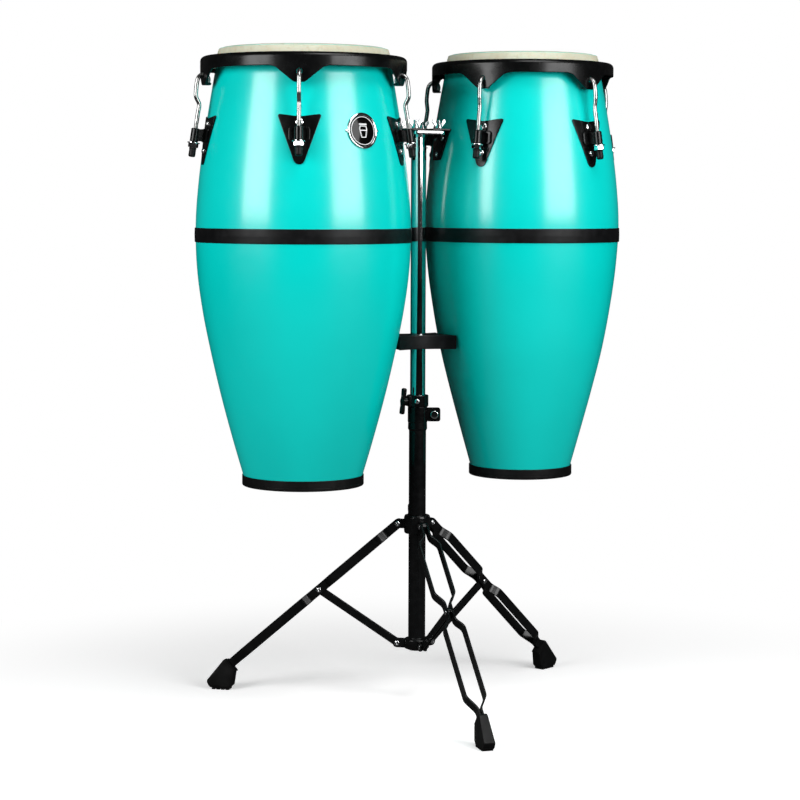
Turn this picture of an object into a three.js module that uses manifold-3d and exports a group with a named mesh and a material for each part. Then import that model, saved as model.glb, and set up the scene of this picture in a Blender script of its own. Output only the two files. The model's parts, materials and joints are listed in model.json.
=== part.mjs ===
// A pair of conga drums, 11 in and 10 in, hung on one double-braced tripod stand.
// Millimetres. +Z is up, +X runs from the large drum to the small one, +Y to the back.
// The origin is on the floor, in the middle of the whole instrument's footprint.
import * as THREE from "three";
import { mergeVertices } from "three/addons/utils/BufferGeometryUtils.js";
import Module from "manifold-3d";

const wasm = await Module();
wasm.setup();

// ---- driving dimensions ----

const MAST_X = 11.6;
const MAST_Y = 74;
const GAP = 0.4;
const RING_SIDES = 30;
const TUBE_SIDES = 20;
// Longer than any sheet that it cuts or any wall that it bores through.
const THROUGH = 20;

// Drums: heights are measured up from a drum's own bottom edge.
const DRUM_BOTTOM_Z = 373;
const DRUM_HEIGHT = 711;
const SHELL_WALL = 11;
const SHELL_FOOT = 3.4;
const SHELL_TOP = 708.6;
const LUG_COUNT = 5;
const LUG_STEP = 360 / LUG_COUNT;
const DRUMS = [
  {
    name: "large",
    centreX: -203,
    mastAngle: 0,
    turn: -4.2,
    headRadius: 140.4,
    rimRadius: 167.8,
    ringRadius: 99.5,
    outline: [[SHELL_FOOT, 94], [109, 124.3], [213, 149.5], [317, 168.9], [408, 175.2],
      [499, 169.8], [607, 154.8], [SHELL_TOP, 137.4]],
  },
  {
    name: "small",
    centreX: 190,
    mastAngle: 180,
    turn: 3.3,
    headRadius: 128.3,
    rimRadius: 153.3,
    ringRadius: 87.4,
    outline: [[SHELL_FOOT, 81.6], [121, 114], [213, 137], [310, 153.9], [408, 163.7],
      [499, 159.3], [607, 144.3], [SHELL_TOP, 125.6]],
  },
];

const HEAD_THICKNESS = 2;
const BASE_RING = { top: 17, width: 16, edge: 1.5 };
const FLESH_RING = { bottom: 679, top: 688, inset: 15.3 };
const RIM = { bottom: 674, top: 696, seat: 688.6, sheet: 3, lipGap: 4.2, shoulder: 9 };
const TAB = { tip: 648, halfTop: 43.5, halfShoulder: 36, halfTip: 6, foldHalf: 11, foldDepth: 14 };
const TAB_HOLE = { height: 664.5, radius: 5 };
const SIDE_PLATE = { bottom: 520, top: 599.5, halfWidth: 34.5, halfTip: 8.6, notch: 4.5, thickness: 2.2 };
const LUG = { bottom: 557, top: 579, barrelRadius: 6.8, boreRadius: 4, offset: 20.4 };
const LUG_PAD = { halfWidth: 16.5, thickness: 5.5 };
const HOOK = { radius: 3.5, bend: 617, middle: 590, bottom: 538 };
const NUT = { washerRadius: 10, washer: 1.6, hexRadius: 8.4, hex: 6.6, capRadius: 6, cap: 15.5, bore: 3.9 };
const BRACKET = { bottom: 532, top: 583, halfTop: 32, halfBottom: 14, thickness: 3, shellGap: 0.8 };
const FLANGE = { halfWidth: 46, thickness: 3, mastGap: 2 };

// Stand: heights are measured from the floor, distances from the mast's axis.
const MAST = { radius: 12.7, wall: 1.6, bottom: 200, top: 947 };
const PLATE = { bottom: 946.3, thickness: 6, halfX: 27.5, halfY: 50 };
const BOLT = { x: 21, y: 35, radius: 3, top: 971 };
const WING_NUT = { bossRadius: 6.5, bossHeight: 8, halfSpan: 12, top: 16, thickness: 3, bore: 3.4 };
const CRADLE = { bottom: 591.5, top: 614.6, hornX: 70, hornY: 58, waistY: 27, reach: 5 };
const BASE_TUBE = { radius: 14.3, bore: 13.1, bottom: 85, top: 494 };
const CLAMP_HEAD = { bottom: 469, radius: 16.5, lugReach: 38, lugAngle: -22 };
const SLEEVE = { bottom: 454, radius: 15.8 };
const MEMORY = { bottom: 494.4, top: 513.5, radius: 18, bore: 13.1, earAngle: 189, earReach: 21 };
const LEG_COLLAR = {
  bottom: 281.6,
  top: 312.2,
  radius: 22,
  bore: 14.7,
  screwAngle: 85,
  screwZ: 303,
  bossReach: 30,
};
const HUB = { bottom: 87, top: 104, radius: 21 };

// Tripod linkage, in each leg's own upright plane.
const LEG_ANGLES = { front: -95, left: 145, right: 25 };
const PIVOT_A = { r: 32.5, z: 296.5 };
const PIVOT_B = { r: 33, z: 95 };
const PIVOT_C = { r: 169, z: 179 };
const PIN_RADIUS = 4;
const RIVET_HEAD = 1.4;
// A leg's two bars: half the distance between their middles, and where they bend, from pivot A.
const LEG = {
  length: 402,
  depth: 15.5,
  sheet: 3.2,
  atCollar: 5.2,
  upperBulge: 17.3,
  atStrut: 4.5,
  lowerBulge: 16.2,
  inBoot: 2.6,
  upperBends: [26, 40, 146, 164],
  lowerBends: [200, 213, 350, 372],
};
const STRUT = { halfThickness: 2.5, endRadius: 6.6 };
const EAR = { halfThickness: 3.2, clevisInner: 2.9, clevisOuter: 6, endRadius: 7.8, clevisRadius: 7.2 };
const FOOT = { heel: 326, toe: 357, back: 317, front: 367, height: 51, halfWidth: 9.8, halfTop: 7.4 };
// Where along the leg its boot's socket opens, outside the boot.
const SOCKET_OPENS = 380;
const SCREW = { shaft: 3.6, hubRadius: 6.5, hubLength: 7, barRadius: 4.5, barHalf: 22, backedOff: 3.5 };

// ---- materials ----

const finish = (color, roughness, metalness) => new THREE.MeshStandardMaterial({ color, roughness, metalness });
const LACQUER = finish(0x00e0d6, 0.3, 0);
const HIDE = finish(0xd7d6be, 0.75, 0);
const BLACK_ENAMEL = finish(0x101112, 0.42, 0.3);
const CHROME = finish(0xdadcde, 0.12, 1);
const RUBBER = finish(0x121212, 0.8, 0);
const ZINC = finish(0xa8aaad, 0.35, 1);

// ---- solids ----

const radians = THREE.MathUtils.degToRad;

function withoutRepeats(index) {
  const kept = [];
  for (let i = 0; i < index.length; i += 3) {
    const [a, b, c] = [index[i], index[i + 1], index[i + 2]];
    if (a !== b && b !== c && c !== a) kept.push(a, b, c);
  }
  return kept;
}

function signedVolume(points, index) {
  const corner = (k) => new THREE.Vector3().fromArray(points, index[k] * 3);
  let volume = 0;
  for (let i = 0; i < index.length; i += 3) volume += corner(i).dot(corner(i + 1).cross(corner(i + 2)));
  return volume / 6;
}

// A closed geometry as a solid, its faces turned outwards.
function solid(geometry) {
  const bare = geometry.clone();
  bare.deleteAttribute("normal");
  bare.deleteAttribute("uv");
  const merged = mergeVertices(bare, 1e-4);
  const points = merged.attributes.position.array;
  const index = withoutRepeats(merged.index.array);
  if (signedVolume(points, index) < 0) index.reverse();
  return new wasm.Manifold(new wasm.Mesh({
    numProp: 3,
    vertProperties: new Float32Array(points),
    triVerts: new Uint32Array(index),
  }));
}

function geometryOf(body) {
  const mesh = body.getMesh();
  const geometry = new THREE.BufferGeometry();
  geometry.setAttribute("position", new THREE.BufferAttribute(mesh.vertProperties, 3));
  geometry.setIndex(new THREE.BufferAttribute(mesh.triVerts, 1));
  geometry.computeVertexNormals();
  return geometry;
}

const joined = (first, ...others) => others.reduce((whole, body) => whole.add(body), first);
const cut = (first, ...others) => others.reduce((whole, body) => whole.subtract(body), first);

// A profile of [radius, height] pairs turned about the Z axis.
function turned(profile, sides = RING_SIDES) {
  const points = profile.map(([radius, height]) => new THREE.Vector2(radius, height));
  return solid(new THREE.LatheGeometry(points, sides).rotateX(Math.PI / 2));
}

function ring(inner, outer, bottom, top, sides = TUBE_SIDES) {
  return turned([[inner, bottom], [outer, bottom], [outer, top], [inner, top], [inner, bottom]], sides);
}

function box(x0, x1, y0, y1, z0, z1) {
  const geometry = new THREE.BoxGeometry(x1 - x0, y1 - y0, z1 - z0);
  return solid(geometry.translate((x0 + x1) / 2, (y0 + y1) / 2, (z0 + z1) / 2));
}

// A cylinder between two points.
function rod(radius, from, to, sides = 8) {
  const start = new THREE.Vector3(...from);
  const along = new THREE.Vector3(...to).sub(start);
  const geometry = new THREE.CylinderGeometry(radius, radius, along.length(), sides);
  geometry.translate(0, along.length() / 2, 0);
  geometry.applyQuaternion(new THREE.Quaternion().setFromUnitVectors(
    new THREE.Vector3(0, 1, 0),
    along.clone().normalize(),
  ));
  return solid(geometry.translate(start.x, start.y, start.z));
}

// An outline of [y, z] pairs pushed along X from x0 to x1.
function pushedAlongX(outline, x0, x1) {
  const shape = new THREE.Shape(outline.map(([y, z]) => new THREE.Vector2(y, z)));
  const geometry = new THREE.ExtrudeGeometry(shape, { depth: x1 - x0, bevelEnabled: false });
  geometry.rotateX(Math.PI / 2).rotateZ(Math.PI / 2);
  return solid(geometry.translate(x0, 0, 0));
}

// An outline of [x, z] pairs, or a shape, given a thickness across Y.
function plateAcrossY(outline, y0, y1) {
  const shape = Array.isArray(outline)
    ? new THREE.Shape(outline.map(([x, z]) => new THREE.Vector2(x, z)))
    : outline;
  const geometry = new THREE.ExtrudeGeometry(shape, { depth: y1 - y0, bevelEnabled: false, curveSegments: 4 });
  return solid(geometry.rotateX(Math.PI / 2).translate(0, y1, 0));
}

function mirrored(points) {
  const other = points.filter(([y]) => y !== 0).map(([y, z]) => [-y, z]);
  return [...points, ...other.reverse()];
}

// A body turned about the Z axis by an angle in degrees.
const facing = (body, angle) => body.rotate([0, 0, angle]);

function part(name, body, material, parent) {
  const mesh = new THREE.Mesh(geometryOf(body), material);
  mesh.name = name;
  parent.add(mesh);
  return mesh;
}

// ---- drums ----

// Outer radius of a shell at a height above the drum's bottom edge.
function shellRadius(drum, height) {
  drum.curve ??= new THREE.SplineCurve(drum.outline.map(([z, r]) => new THREE.Vector2(r, z)));
  let low = 0;
  let high = 1;
  for (let step = 0; step < 30; step += 1) {
    const middle = (low + high) / 2;
    if (drum.curve.getPoint(middle).y < height) low = middle;
    else high = middle;
  }
  return drum.curve.getPoint(low).x;
}

// Points at even heights on a surface that stands off the shell by an offset.
function shellLine(drum, bottom, top, steps, offset) {
  const line = [];
  for (let step = 0; step <= steps; step += 1) {
    const height = bottom + ((top - bottom) * step) / steps;
    line.push([shellRadius(drum, height) + offset, height]);
  }
  return line;
}

// A sheet that follows the shell all round, between two offsets.
function sheetOnShell(drum, bottom, top, [inner, outer], steps = 3, sides = RING_SIDES) {
  const outside = shellLine(drum, bottom, top, steps, outer);
  const inside = shellLine(drum, bottom, top, steps, inner).reverse();
  return turned([...outside, ...inside, outside[0]], sides);
}

function shell(drum) {
  const outside = shellLine(drum, SHELL_FOOT, SHELL_TOP, 10, 0);
  const inside = shellLine(drum, SHELL_FOOT, SHELL_TOP, 6, -SHELL_WALL).reverse();
  return turned([...outside, ...inside, outside[0]]);
}

function baseRing(drum) {
  const { top, width, edge } = BASE_RING;
  const outer = drum.ringRadius;
  const inner = outer - width;
  const seat = SHELL_FOOT - GAP;
  return turned([
    [inner, 0], [outer - edge, 0], [outer, edge], [outer, top], [shellRadius(drum, top) + GAP, top],
    [shellRadius(drum, SHELL_FOOT) + GAP, seat], [inner, seat], [inner, 0],
  ]);
}

function head(drum) {
  const crown = drum.headRadius;
  const top = DRUM_HEIGHT;
  const fleshOuter = drum.rimRadius - FLESH_RING.inset;
  const skirt = (height) => shellRadius(drum, height) + GAP;
  return turned([
    [0, top], [crown - 7, top], [crown - 1, top - 3], [crown, top - 8], [crown + 1.6, FLESH_RING.top],
    [fleshOuter, FLESH_RING.top], [fleshOuter, FLESH_RING.bottom],
    [skirt(FLESH_RING.bottom), FLESH_RING.bottom],
    [skirt(SHELL_TOP), top - HEAD_THICKNESS], [0, top - HEAD_THICKNESS],
  ]);
}

// The crown hoop: a rounded channel with a pointed tab and a hook hole over each lug.
function rim(drum) {
  const outer = drum.rimRadius;
  const inner = outer - RIM.sheet;
  const lip = drum.headRadius + RIM.lipGap;
  const shoulder = RIM.top - RIM.shoulder;
  const hoop = turned([
    [lip, RIM.seat], [lip, RIM.top - 2.5], [lip + 4, RIM.top - 0.4], [outer - 8, RIM.top],
    [outer - 3, RIM.top - 1.6], [outer - 0.8, RIM.top - 4.8], [outer, shoulder], [outer, RIM.bottom],
    [inner, RIM.bottom], [inner, shoulder], [inner - RIM.sheet, RIM.seat], [lip, RIM.seat],
  ]);
  const skirt = ring(inner, outer, TAB.tip - 1, RIM.bottom + 1.5, RING_SIDES);
  const outline = mirrored([
    [0, TAB.tip], [TAB.halfTip, TAB.tip], [2 * TAB.halfTip, TAB.tip + 3], [TAB.halfShoulder, RIM.bottom - 4],
    [TAB.halfTop, RIM.bottom + 1],
  ]);
  const wedge = pushedAlongX(outline, outer - THROUGH, outer + THROUGH);
  const fold = box(outer - TAB.foldDepth, outer - 1, -TAB.foldHalf, TAB.foldHalf, TAB.tip, TAB.tip + RIM.sheet);
  const { radius, height } = TAB_HOLE;
  const hole = rod(radius, [outer - THROUGH, 0, height], [outer + THROUGH, 0, height], 10);
  const tab = cut(joined(skirt.intersect(wedge), fold.intersect(wedge)), hole);
  let whole = hoop;
  for (let lug = 0; lug < LUG_COUNT; lug += 1) whole = whole.add(facing(tab, lugAngle(drum, lug)));
  return whole;
}

// Lugs sit either side of the mount, so the mount is half a step from two of them.
const lugAngle = (drum, lug) => drum.mastAngle + LUG_STEP * (lug + 0.5);

// The straight lower part of a hook runs beside the shell at a fixed offset.
function hookLine(drum) {
  const top = new THREE.Vector3(shellRadius(drum, HOOK.bend) + LUG.offset, 0, HOOK.bend);
  const bottom = new THREE.Vector3(shellRadius(drum, HOOK.bottom) + LUG.offset, 0, HOOK.bottom);
  const slope = (bottom.x - top.x) / (top.z - bottom.z);
  return { top, bottom, tilt: Math.atan(slope), at: (z) => [top.x + (top.z - z) * slope, 0, z] };
}

// A V-shaped plate on the shell, with a pad, a web and a barrel that the hook passes through.
function sidePlate(drum) {
  const { bottom, top, halfWidth, halfTip, notch, thickness } = SIDE_PLATE;
  const sheet = sheetOnShell(drum, bottom - 2, top + 2, [GAP, GAP + thickness]);
  const outline = mirrored([
    [0, bottom], [halfTip - 3, bottom + 1.6], [halfTip, bottom + 6], [halfWidth, top - 2.5],
    [halfWidth - 2.5, top], [0, top - notch],
  ]);
  const line = hookLine(drum);
  const [foot] = line.at(LUG.bottom);
  const webInner = foot - LUG.offset + thickness;
  const web = box(webInner, foot - LUG.boreRadius, -5, 5, LUG.bottom + 1.5, LUG.top - 1.5);
  const inner = drum.ringRadius;
  const outer = drum.rimRadius + THROUGH;
  const pad = sheetOnShell(drum, LUG.bottom - 1, LUG.top + 1, [GAP + 0.2, GAP + LUG_PAD.thickness], 1)
    .intersect(box(inner, outer, -LUG_PAD.halfWidth, LUG_PAD.halfWidth, LUG.bottom - 2, LUG.top + 2));
  const barrel = rod(LUG.barrelRadius, line.at(LUG.bottom), line.at(LUG.top), 10);
  const bore = rod(LUG.boreRadius, line.at(LUG.bottom - 5), line.at(LUG.top + 5), 8);
  const blade = sheet.intersect(pushedAlongX(outline, inner, outer));
  return cut(joined(blade, pad, web, barrel), bore);
}

function hook(drum) {
  const line = hookLine(drum);
  const rimX = drum.rimRadius;
  const path = new THREE.CatmullRomCurve3([
    new THREE.Vector3(rimX - 8, 0, TAB_HOLE.height),
    new THREE.Vector3(rimX + 2.5, 0, TAB_HOLE.height - 0.2),
    new THREE.Vector3(rimX + 8.5, 0, TAB_HOLE.height - 8),
    new THREE.Vector3(rimX + 11, 0, 637),
    new THREE.Vector3(rimX + 10.5, 0, 628),
    line.top,
    new THREE.Vector3(...line.at(HOOK.middle)),
    line.bottom,
  ]);
  const section = new THREE.Shape();
  section.absarc(0, 0, HOOK.radius, 0, 2 * Math.PI);
  return solid(new THREE.ExtrudeGeometry(section, { steps: 13, curveSegments: 3, extrudePath: path }));
}

// Washer, hexagon nut and rubber cap, turned as one on the hook's thread; its axis is -Z.
function tuningNut() {
  const hexTop = -NUT.washer;
  const capTop = hexTop - NUT.hex;
  const end = capTop - NUT.cap;
  const stack = joined(
    rod(NUT.washerRadius, [0, 0, 0], [0, 0, hexTop - 0.1], 10),
    rod(NUT.hexRadius, [0, 0, hexTop], [0, 0, capTop - 0.1], 6),
    rod(NUT.capRadius, [0, 0, capTop], [0, 0, end]),
  );
  return cut(stack, rod(NUT.bore, [0, 0, 1], [0, 0, end + 2], 8));
}

// Back plate on the shell and the flange that reaches the mast's top plate.
function mountBracket(drum) {
  const { bottom, top, thickness, shellGap } = BRACKET;
  const sheet = sheetOnShell(drum, bottom - 2, top, [shellGap, shellGap + thickness], 2, 2 * RING_SIDES);
  const outline = mirrored([[0, bottom], [BRACKET.halfBottom, bottom], [BRACKET.halfTop, top + 1]]);
  const back = sheet.intersect(pushedAlongX(outline, drum.ringRadius, drum.rimRadius + THROUGH));
  const reach = Math.abs(drum.centreX);
  const inner = shellRadius(drum, top) + shellGap + 0.4;
  const { halfWidth, mastGap } = FLANGE;
  const flange = box(inner, reach - mastGap, -halfWidth, halfWidth, top - FLANGE.thickness, top);
  const holes = [-BOLT.y, BOLT.y].map((y) => {
    const x = reach - BOLT.x;
    return rod(BOLT.radius + GAP, [x, y, top - 10], [x, y, top + 5], 10);
  });
  return cut(joined(back, flange), ...holes);
}

function makeDrum(drum, stand) {
  const placed = new THREE.Group();
  placed.position.set(drum.centreX, 0, DRUM_BOTTOM_Z);
  stand.add(placed);
  const bracket = part(`${drum.name}_mount_bracket`, mountBracket(drum), BLACK_ENAMEL, placed);
  bracket.rotation.z = radians(drum.mastAngle);

  const turnedGroup = new THREE.Group();
  turnedGroup.rotation.z = radians(drum.turn);
  placed.add(turnedGroup);
  part(`${drum.name}_shell`, shell(drum), LACQUER, turnedGroup);
  part(`${drum.name}_base_ring`, baseRing(drum), RUBBER, turnedGroup);
  part(`${drum.name}_head`, head(drum), HIDE, turnedGroup);
  part(`${drum.name}_rim`, rim(drum), BLACK_ENAMEL, turnedGroup);

  const line = hookLine(drum);
  const plate = sidePlate(drum);
  const bar = hook(drum);
  const nut = tuningNut();
  for (let lug = 0; lug < LUG_COUNT; lug += 1) {
    const station = new THREE.Group();
    station.rotation.z = radians(lugAngle(drum, lug));
    turnedGroup.add(station);
    part(`${drum.name}_side_plate_${lug + 1}`, plate, BLACK_ENAMEL, station);
    part(`${drum.name}_hook_${lug + 1}`, bar, CHROME, station);
    const turningNut = part(`${drum.name}_tuning_nut_${lug + 1}`, nut, CHROME, station);
    turningNut.position.set(...line.at(LUG.bottom - GAP));
    turningNut.rotation.y = -line.tilt;
  }
}

// ---- stand ----

// Chrome tube with the drum plate welded across its top and four bolts standing on it.
function mast() {
  const { radius, wall, bottom, top } = MAST;
  const tube = ring(radius - wall, radius, bottom, top);
  const plateTop = PLATE.bottom + PLATE.thickness;
  const plate = box(-PLATE.halfX, PLATE.halfX, -PLATE.halfY, PLATE.halfY, PLATE.bottom, plateTop);
  const bolts = [-1, 1].flatMap((sx) => [-1, 1].map((sy) => (
    rod(BOLT.radius, [sx * BOLT.x, sy * BOLT.y, plateTop - 1], [sx * BOLT.x, sy * BOLT.y, BOLT.top], 8)
  )));
  return joined(tube, plate, ...bolts);
}

function wingNut() {
  const { bossRadius, bossHeight, halfSpan, top, thickness, bore } = WING_NUT;
  const boss = turned([[0, 0], [bossRadius, 0], [bossRadius - 1.5, bossHeight], [0, bossHeight]], 10);
  const wing = plateAcrossY(
    [[3.8, 2], [6, 1.5], [halfSpan, 9], [halfSpan, top - 2], [halfSpan - 3, top], [5.5, 9], [3.8, 7]],
    -thickness / 2,
    thickness / 2,
  );
  return cut(joined(boss, wing, facing(wing, 180)), rod(bore, [0, 0, -1], [0, 0, top], 8));
}

// Spacer block below the bellies, hollowed to the two shells and horned at its corners.
function cradle() {
  const [large, small] = DRUMS;
  const height = (CRADLE.bottom + CRADLE.top) / 2 - DRUM_BOTTOM_Z;
  const hug = DRUMS.map((drum) => shellRadius(drum, height) + CRADLE.reach);
  const block = new THREE.Shape();
  const { hornX, hornY, waistY } = CRADLE;
  block.moveTo(-hornX, hornY);
  block.quadraticCurveTo(0, 2 * waistY - hornY, hornX, hornY);
  block.lineTo(hornX, -hornY);
  block.quadraticCurveTo(0, hornY - 2 * waistY, -hornX, -hornY);
  block.closePath();
  const depth = CRADLE.top - CRADLE.bottom;
  const geometry = new THREE.ExtrudeGeometry(block, { depth, bevelEnabled: false, curveSegments: 10 });
  const outer = solid(geometry.translate(0, 0, CRADLE.bottom));
  const hollows = [large, small].map((drum, k) => (
    rod(hug[k], [drum.centreX, 0, CRADLE.bottom - 1], [drum.centreX, 0, CRADLE.top + 1], 60)
  ));
  const bore = rod(MAST.radius + GAP, [0, 0, CRADLE.bottom - 1], [0, 0, CRADLE.top + 1], TUBE_SIDES);
  return cut(outer, ...hollows, bore);
}

// Two cheeks either side of a strut with the rivet between them, at the foot of the base tube.
function hubClevis() {
  const { r, z } = PIVOT_B;
  const outline = earOutline(HUB.radius - 6, r, z, EAR.clevisRadius);
  const cheek = plateAcrossY(outline, EAR.clevisInner, EAR.clevisOuter);
  const other = cheek.mirror([0, 1, 0]);
  const end = EAR.clevisOuter + RIVET_HEAD;
  const rivet = rod(PIN_RADIUS, [r, -end, z], [r, end, z]);
  return joined(cheek, other, rivet);
}

// A flat ear with a round end about a pivot, in the X-Z plane.
function earOutline(inner, r, z, radius) {
  const ear = new THREE.Shape();
  ear.moveTo(inner, z - radius);
  ear.absarc(r, z, radius, -Math.PI / 2, Math.PI / 2, false);
  ear.lineTo(inner, z + radius);
  ear.closePath();
  return ear;
}

// Outer tube with the split clamp head at its top and the strut hub at its foot.
function baseTube() {
  const { radius, bore, bottom, top } = BASE_TUBE;
  const clamp = CLAMP_HEAD;
  const tube = turned([
    [bore, bottom], [radius, bottom], [radius, HUB.bottom], [HUB.radius, HUB.bottom], [HUB.radius, HUB.top],
    [radius, HUB.top + 2], [radius, SLEEVE.bottom], [SLEEVE.radius, SLEEVE.bottom + 4],
    [SLEEVE.radius, clamp.bottom], [clamp.radius, clamp.bottom], [clamp.radius, top], [bore, top],
    [bore, bottom],
  ], TUBE_SIDES);
  const lug = facing(box(15, clamp.lugReach, -7, 7, clamp.bottom + 0.5, top - 2), clamp.lugAngle);
  const clevises = Object.values(LEG_ANGLES).map((angle) => facing(hubClevis(), angle));
  const whole = joined(tube, lug, ...clevises);
  const slot = facing(box(12, clamp.lugReach + 1, -1, 1, clamp.bottom + 4, top + 1), clamp.lugAngle);
  return cut(whole, slot);
}

// T-handled screw along +X; its tip stops just short of what it presses on.
function tScrew(tip, hub) {
  const { shaft, hubRadius, hubLength, barRadius, barHalf } = SCREW;
  const bar = hub + hubLength;
  return joined(
    rod(shaft, [tip, 0, 0], [hub + 1, 0, 0], 10),
    rod(hubRadius, [hub, 0, 0], [bar + 2, 0, 0], 10),
    rod(barRadius, [bar, 0, -barHalf], [bar, 0, barHalf], 8),
  );
}

function memoryCollar() {
  const { bottom, top, radius, bore, earReach, earAngle } = MEMORY;
  const ear = facing(box(15, earReach, -8, 8, bottom + 1, top - 1), earAngle);
  const middle = (bottom + top) / 2;
  const tapped = facing(rod(SCREW.shaft + GAP, [10, 0, middle], [40, 0, middle], 10), earAngle);
  return cut(joined(ring(bore, radius, bottom, top), ear), tapped);
}

// Sliding collar with three leg ears and a boss for its screw.
function legCollar() {
  const { bottom, top, radius, bore, screwAngle, screwZ, bossReach } = LEG_COLLAR;
  const pinHole = rod(PIN_RADIUS + GAP, [PIVOT_A.r, -20, PIVOT_A.z], [PIVOT_A.r, 20, PIVOT_A.z]);
  const outline = earOutline(radius - 3, PIVOT_A.r, PIVOT_A.z, EAR.endRadius);
  const ear = cut(plateAcrossY(outline, -EAR.halfThickness, EAR.halfThickness), pinHole);
  const ears = Object.values(LEG_ANGLES).map((angle) => facing(ear, angle));
  const boss = facing(rod(8, [radius - 4, 0, screwZ], [bossReach, 0, screwZ]), screwAngle);
  const tapped = facing(rod(SCREW.shaft + GAP, [10, 0, screwZ], [40, 0, screwZ], 10), screwAngle);
  return cut(joined(ring(bore, radius, bottom, top), ...ears, boss), tapped);
}

// A screw backed off so that its tip is inside its collar's wall, its handle just clear of its boss.
function addScrew(name, angle, z, collarBore, bossReach, stand) {
  const holder = new THREE.Group();
  holder.position.z = z;
  holder.rotation.z = radians(angle);
  stand.add(holder);
  part(name, tScrew(collarBore + SCREW.backedOff, bossReach + GAP), BLACK_ENAMEL, holder);
}

// ---- tripod ----

const legTilt = Math.atan2(PIVOT_C.r - PIVOT_A.r, PIVOT_A.z - PIVOT_C.z);
const legToC = Math.hypot(PIVOT_C.r - PIVOT_A.r, PIVOT_A.z - PIVOT_C.z);
const strutTilt = Math.atan2(PIVOT_C.r - PIVOT_B.r, PIVOT_C.z - PIVOT_B.z);
const strutLength = Math.hypot(PIVOT_C.r - PIVOT_B.r, PIVOT_C.z - PIVOT_B.z);

// One of a leg's two bars seen from above: close at the pivots, spread between them.
function barOutline() {
  const [out1, wide1, in1, close1] = LEG.upperBends;
  const [out2, wide2, in2, close2] = LEG.lowerBends;
  const middle = [
    [-LEG.depth, LEG.atCollar], [out1, LEG.atCollar], [wide1, LEG.upperBulge], [in1, LEG.upperBulge],
    [close1, LEG.atStrut], [out2, LEG.atStrut], [wide2, LEG.lowerBulge], [in2, LEG.lowerBulge],
    [close2, LEG.inBoot], [LEG.length, LEG.inBoot],
  ];
  const half = LEG.sheet / 2;
  return [...middle.map(([x, y]) => [x, y - half]), ...middle.map(([x, y]) => [x, y + half]).reverse()];
}

// A leg along +X from its upper pivot: two bars, their rivets, and the plug that the boot holds.
function leg() {
  const half = LEG.depth / 2;
  const shape = new THREE.Shape(barOutline().map(([x, y]) => new THREE.Vector2(x, y)));
  const geometry = new THREE.ExtrudeGeometry(shape, { depth: LEG.depth, bevelEnabled: false });
  const bar = solid(geometry.translate(0, 0, -half));
  const side = new THREE.Shape();
  side.moveTo(LEG.length, half);
  side.lineTo(0, half);
  side.absarc(0, 0, half, Math.PI / 2, (3 * Math.PI) / 2, false);
  side.lineTo(LEG.length, -half);
  side.closePath();
  const bars = joined(bar, bar.mirror([0, 1, 0])).intersect(plateAcrossY(side, -30, 30));
  const pivotEnd = LEG.atCollar + LEG.sheet / 2 + RIVET_HEAD;
  const pivotRivet = rod(PIN_RADIUS, [0, -pivotEnd, 0], [0, pivotEnd, 0]);
  // The strut's rivet is a stub on each bar, so the gap that the strut slides in stays clear.
  const stub = rod(PIN_RADIUS, [legToC, LEG.atStrut, 0], [legToC, LEG.atStrut + LEG.sheet / 2 + RIVET_HEAD, 0]);
  const plug = box(LEG.length - 14, LEG.length, -LEG.inBoot, LEG.inBoot, -6, 6);
  return joined(bars, pivotRivet, stub, stub.mirror([0, 1, 0]), plug);
}

// A strut along +X from its lower pivot, with a rivet hole at each end.
function strut() {
  const { endRadius, halfThickness } = STRUT;
  const side = new THREE.Shape();
  side.absarc(0, 0, endRadius, Math.PI / 2, (3 * Math.PI) / 2, false);
  side.absarc(strutLength, 0, endRadius, -Math.PI / 2, Math.PI / 2, false);
  side.closePath();
  const holes = [0, strutLength].map((x) => rod(PIN_RADIUS + GAP, [x, -20, 0], [x, 20, 0]));
  return cut(plateAcrossY(side, -halfThickness, halfThickness), ...holes);
}

// Rubber boot in the leg's upright plane, narrower at its top, with the socket that its leg fills.
function foot() {
  const { heel, toe, back, front, height, halfWidth, halfTop } = FOOT;
  const side = plateAcrossY([
    [heel, 0], [toe, 0], [toe + 5, 4], [front, 14], [front - 30, height], [front - 34, height + 0.5],
    [back, height - 21], [back + 3.5, 8],
  ], -halfWidth, halfWidth);
  const above = height + 1;
  const taper = mirrored([[0, -1], [halfWidth + 1, -1], [halfWidth, 14], [halfTop, above], [0, above]]);
  const boot = side.intersect(pushedAlongX(taper, back - 1, front + 1));
  const half = LEG.depth / 2 + GAP;
  const across = LEG.inBoot + LEG.sheet / 2 + GAP;
  const socket = box(SOCKET_OPENS, LEG.length + GAP, -across, across, -half, half);
  return cut(boot, inLegPlane(socket));
}

// Moves a solid from a leg's own axes to the leg's upright plane.
function inLegPlane(body) {
  return body.rotate([0, 90 - THREE.MathUtils.radToDeg(legTilt), 0]).translate([PIVOT_A.r, 0, PIVOT_A.z]);
}

function makeTripod(stand) {
  const legBody = leg();
  const strutBody = strut();
  const footBody = foot();
  for (const [name, angle] of Object.entries(LEG_ANGLES)) {
    const plane = new THREE.Group();
    plane.rotation.z = radians(angle);
    stand.add(plane);
    const legMesh = part(`${name}_leg`, legBody, BLACK_ENAMEL, plane);
    legMesh.position.set(PIVOT_A.r, 0, PIVOT_A.z);
    legMesh.rotation.y = Math.PI / 2 - legTilt;
    const strutMesh = part(`${name}_strut`, strutBody, BLACK_ENAMEL, plane);
    strutMesh.position.set(PIVOT_B.r, 0, PIVOT_B.z);
    strutMesh.rotation.y = strutTilt - Math.PI / 2;
    part(`${name}_foot`, footBody, RUBBER, plane);
  }
}

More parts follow.
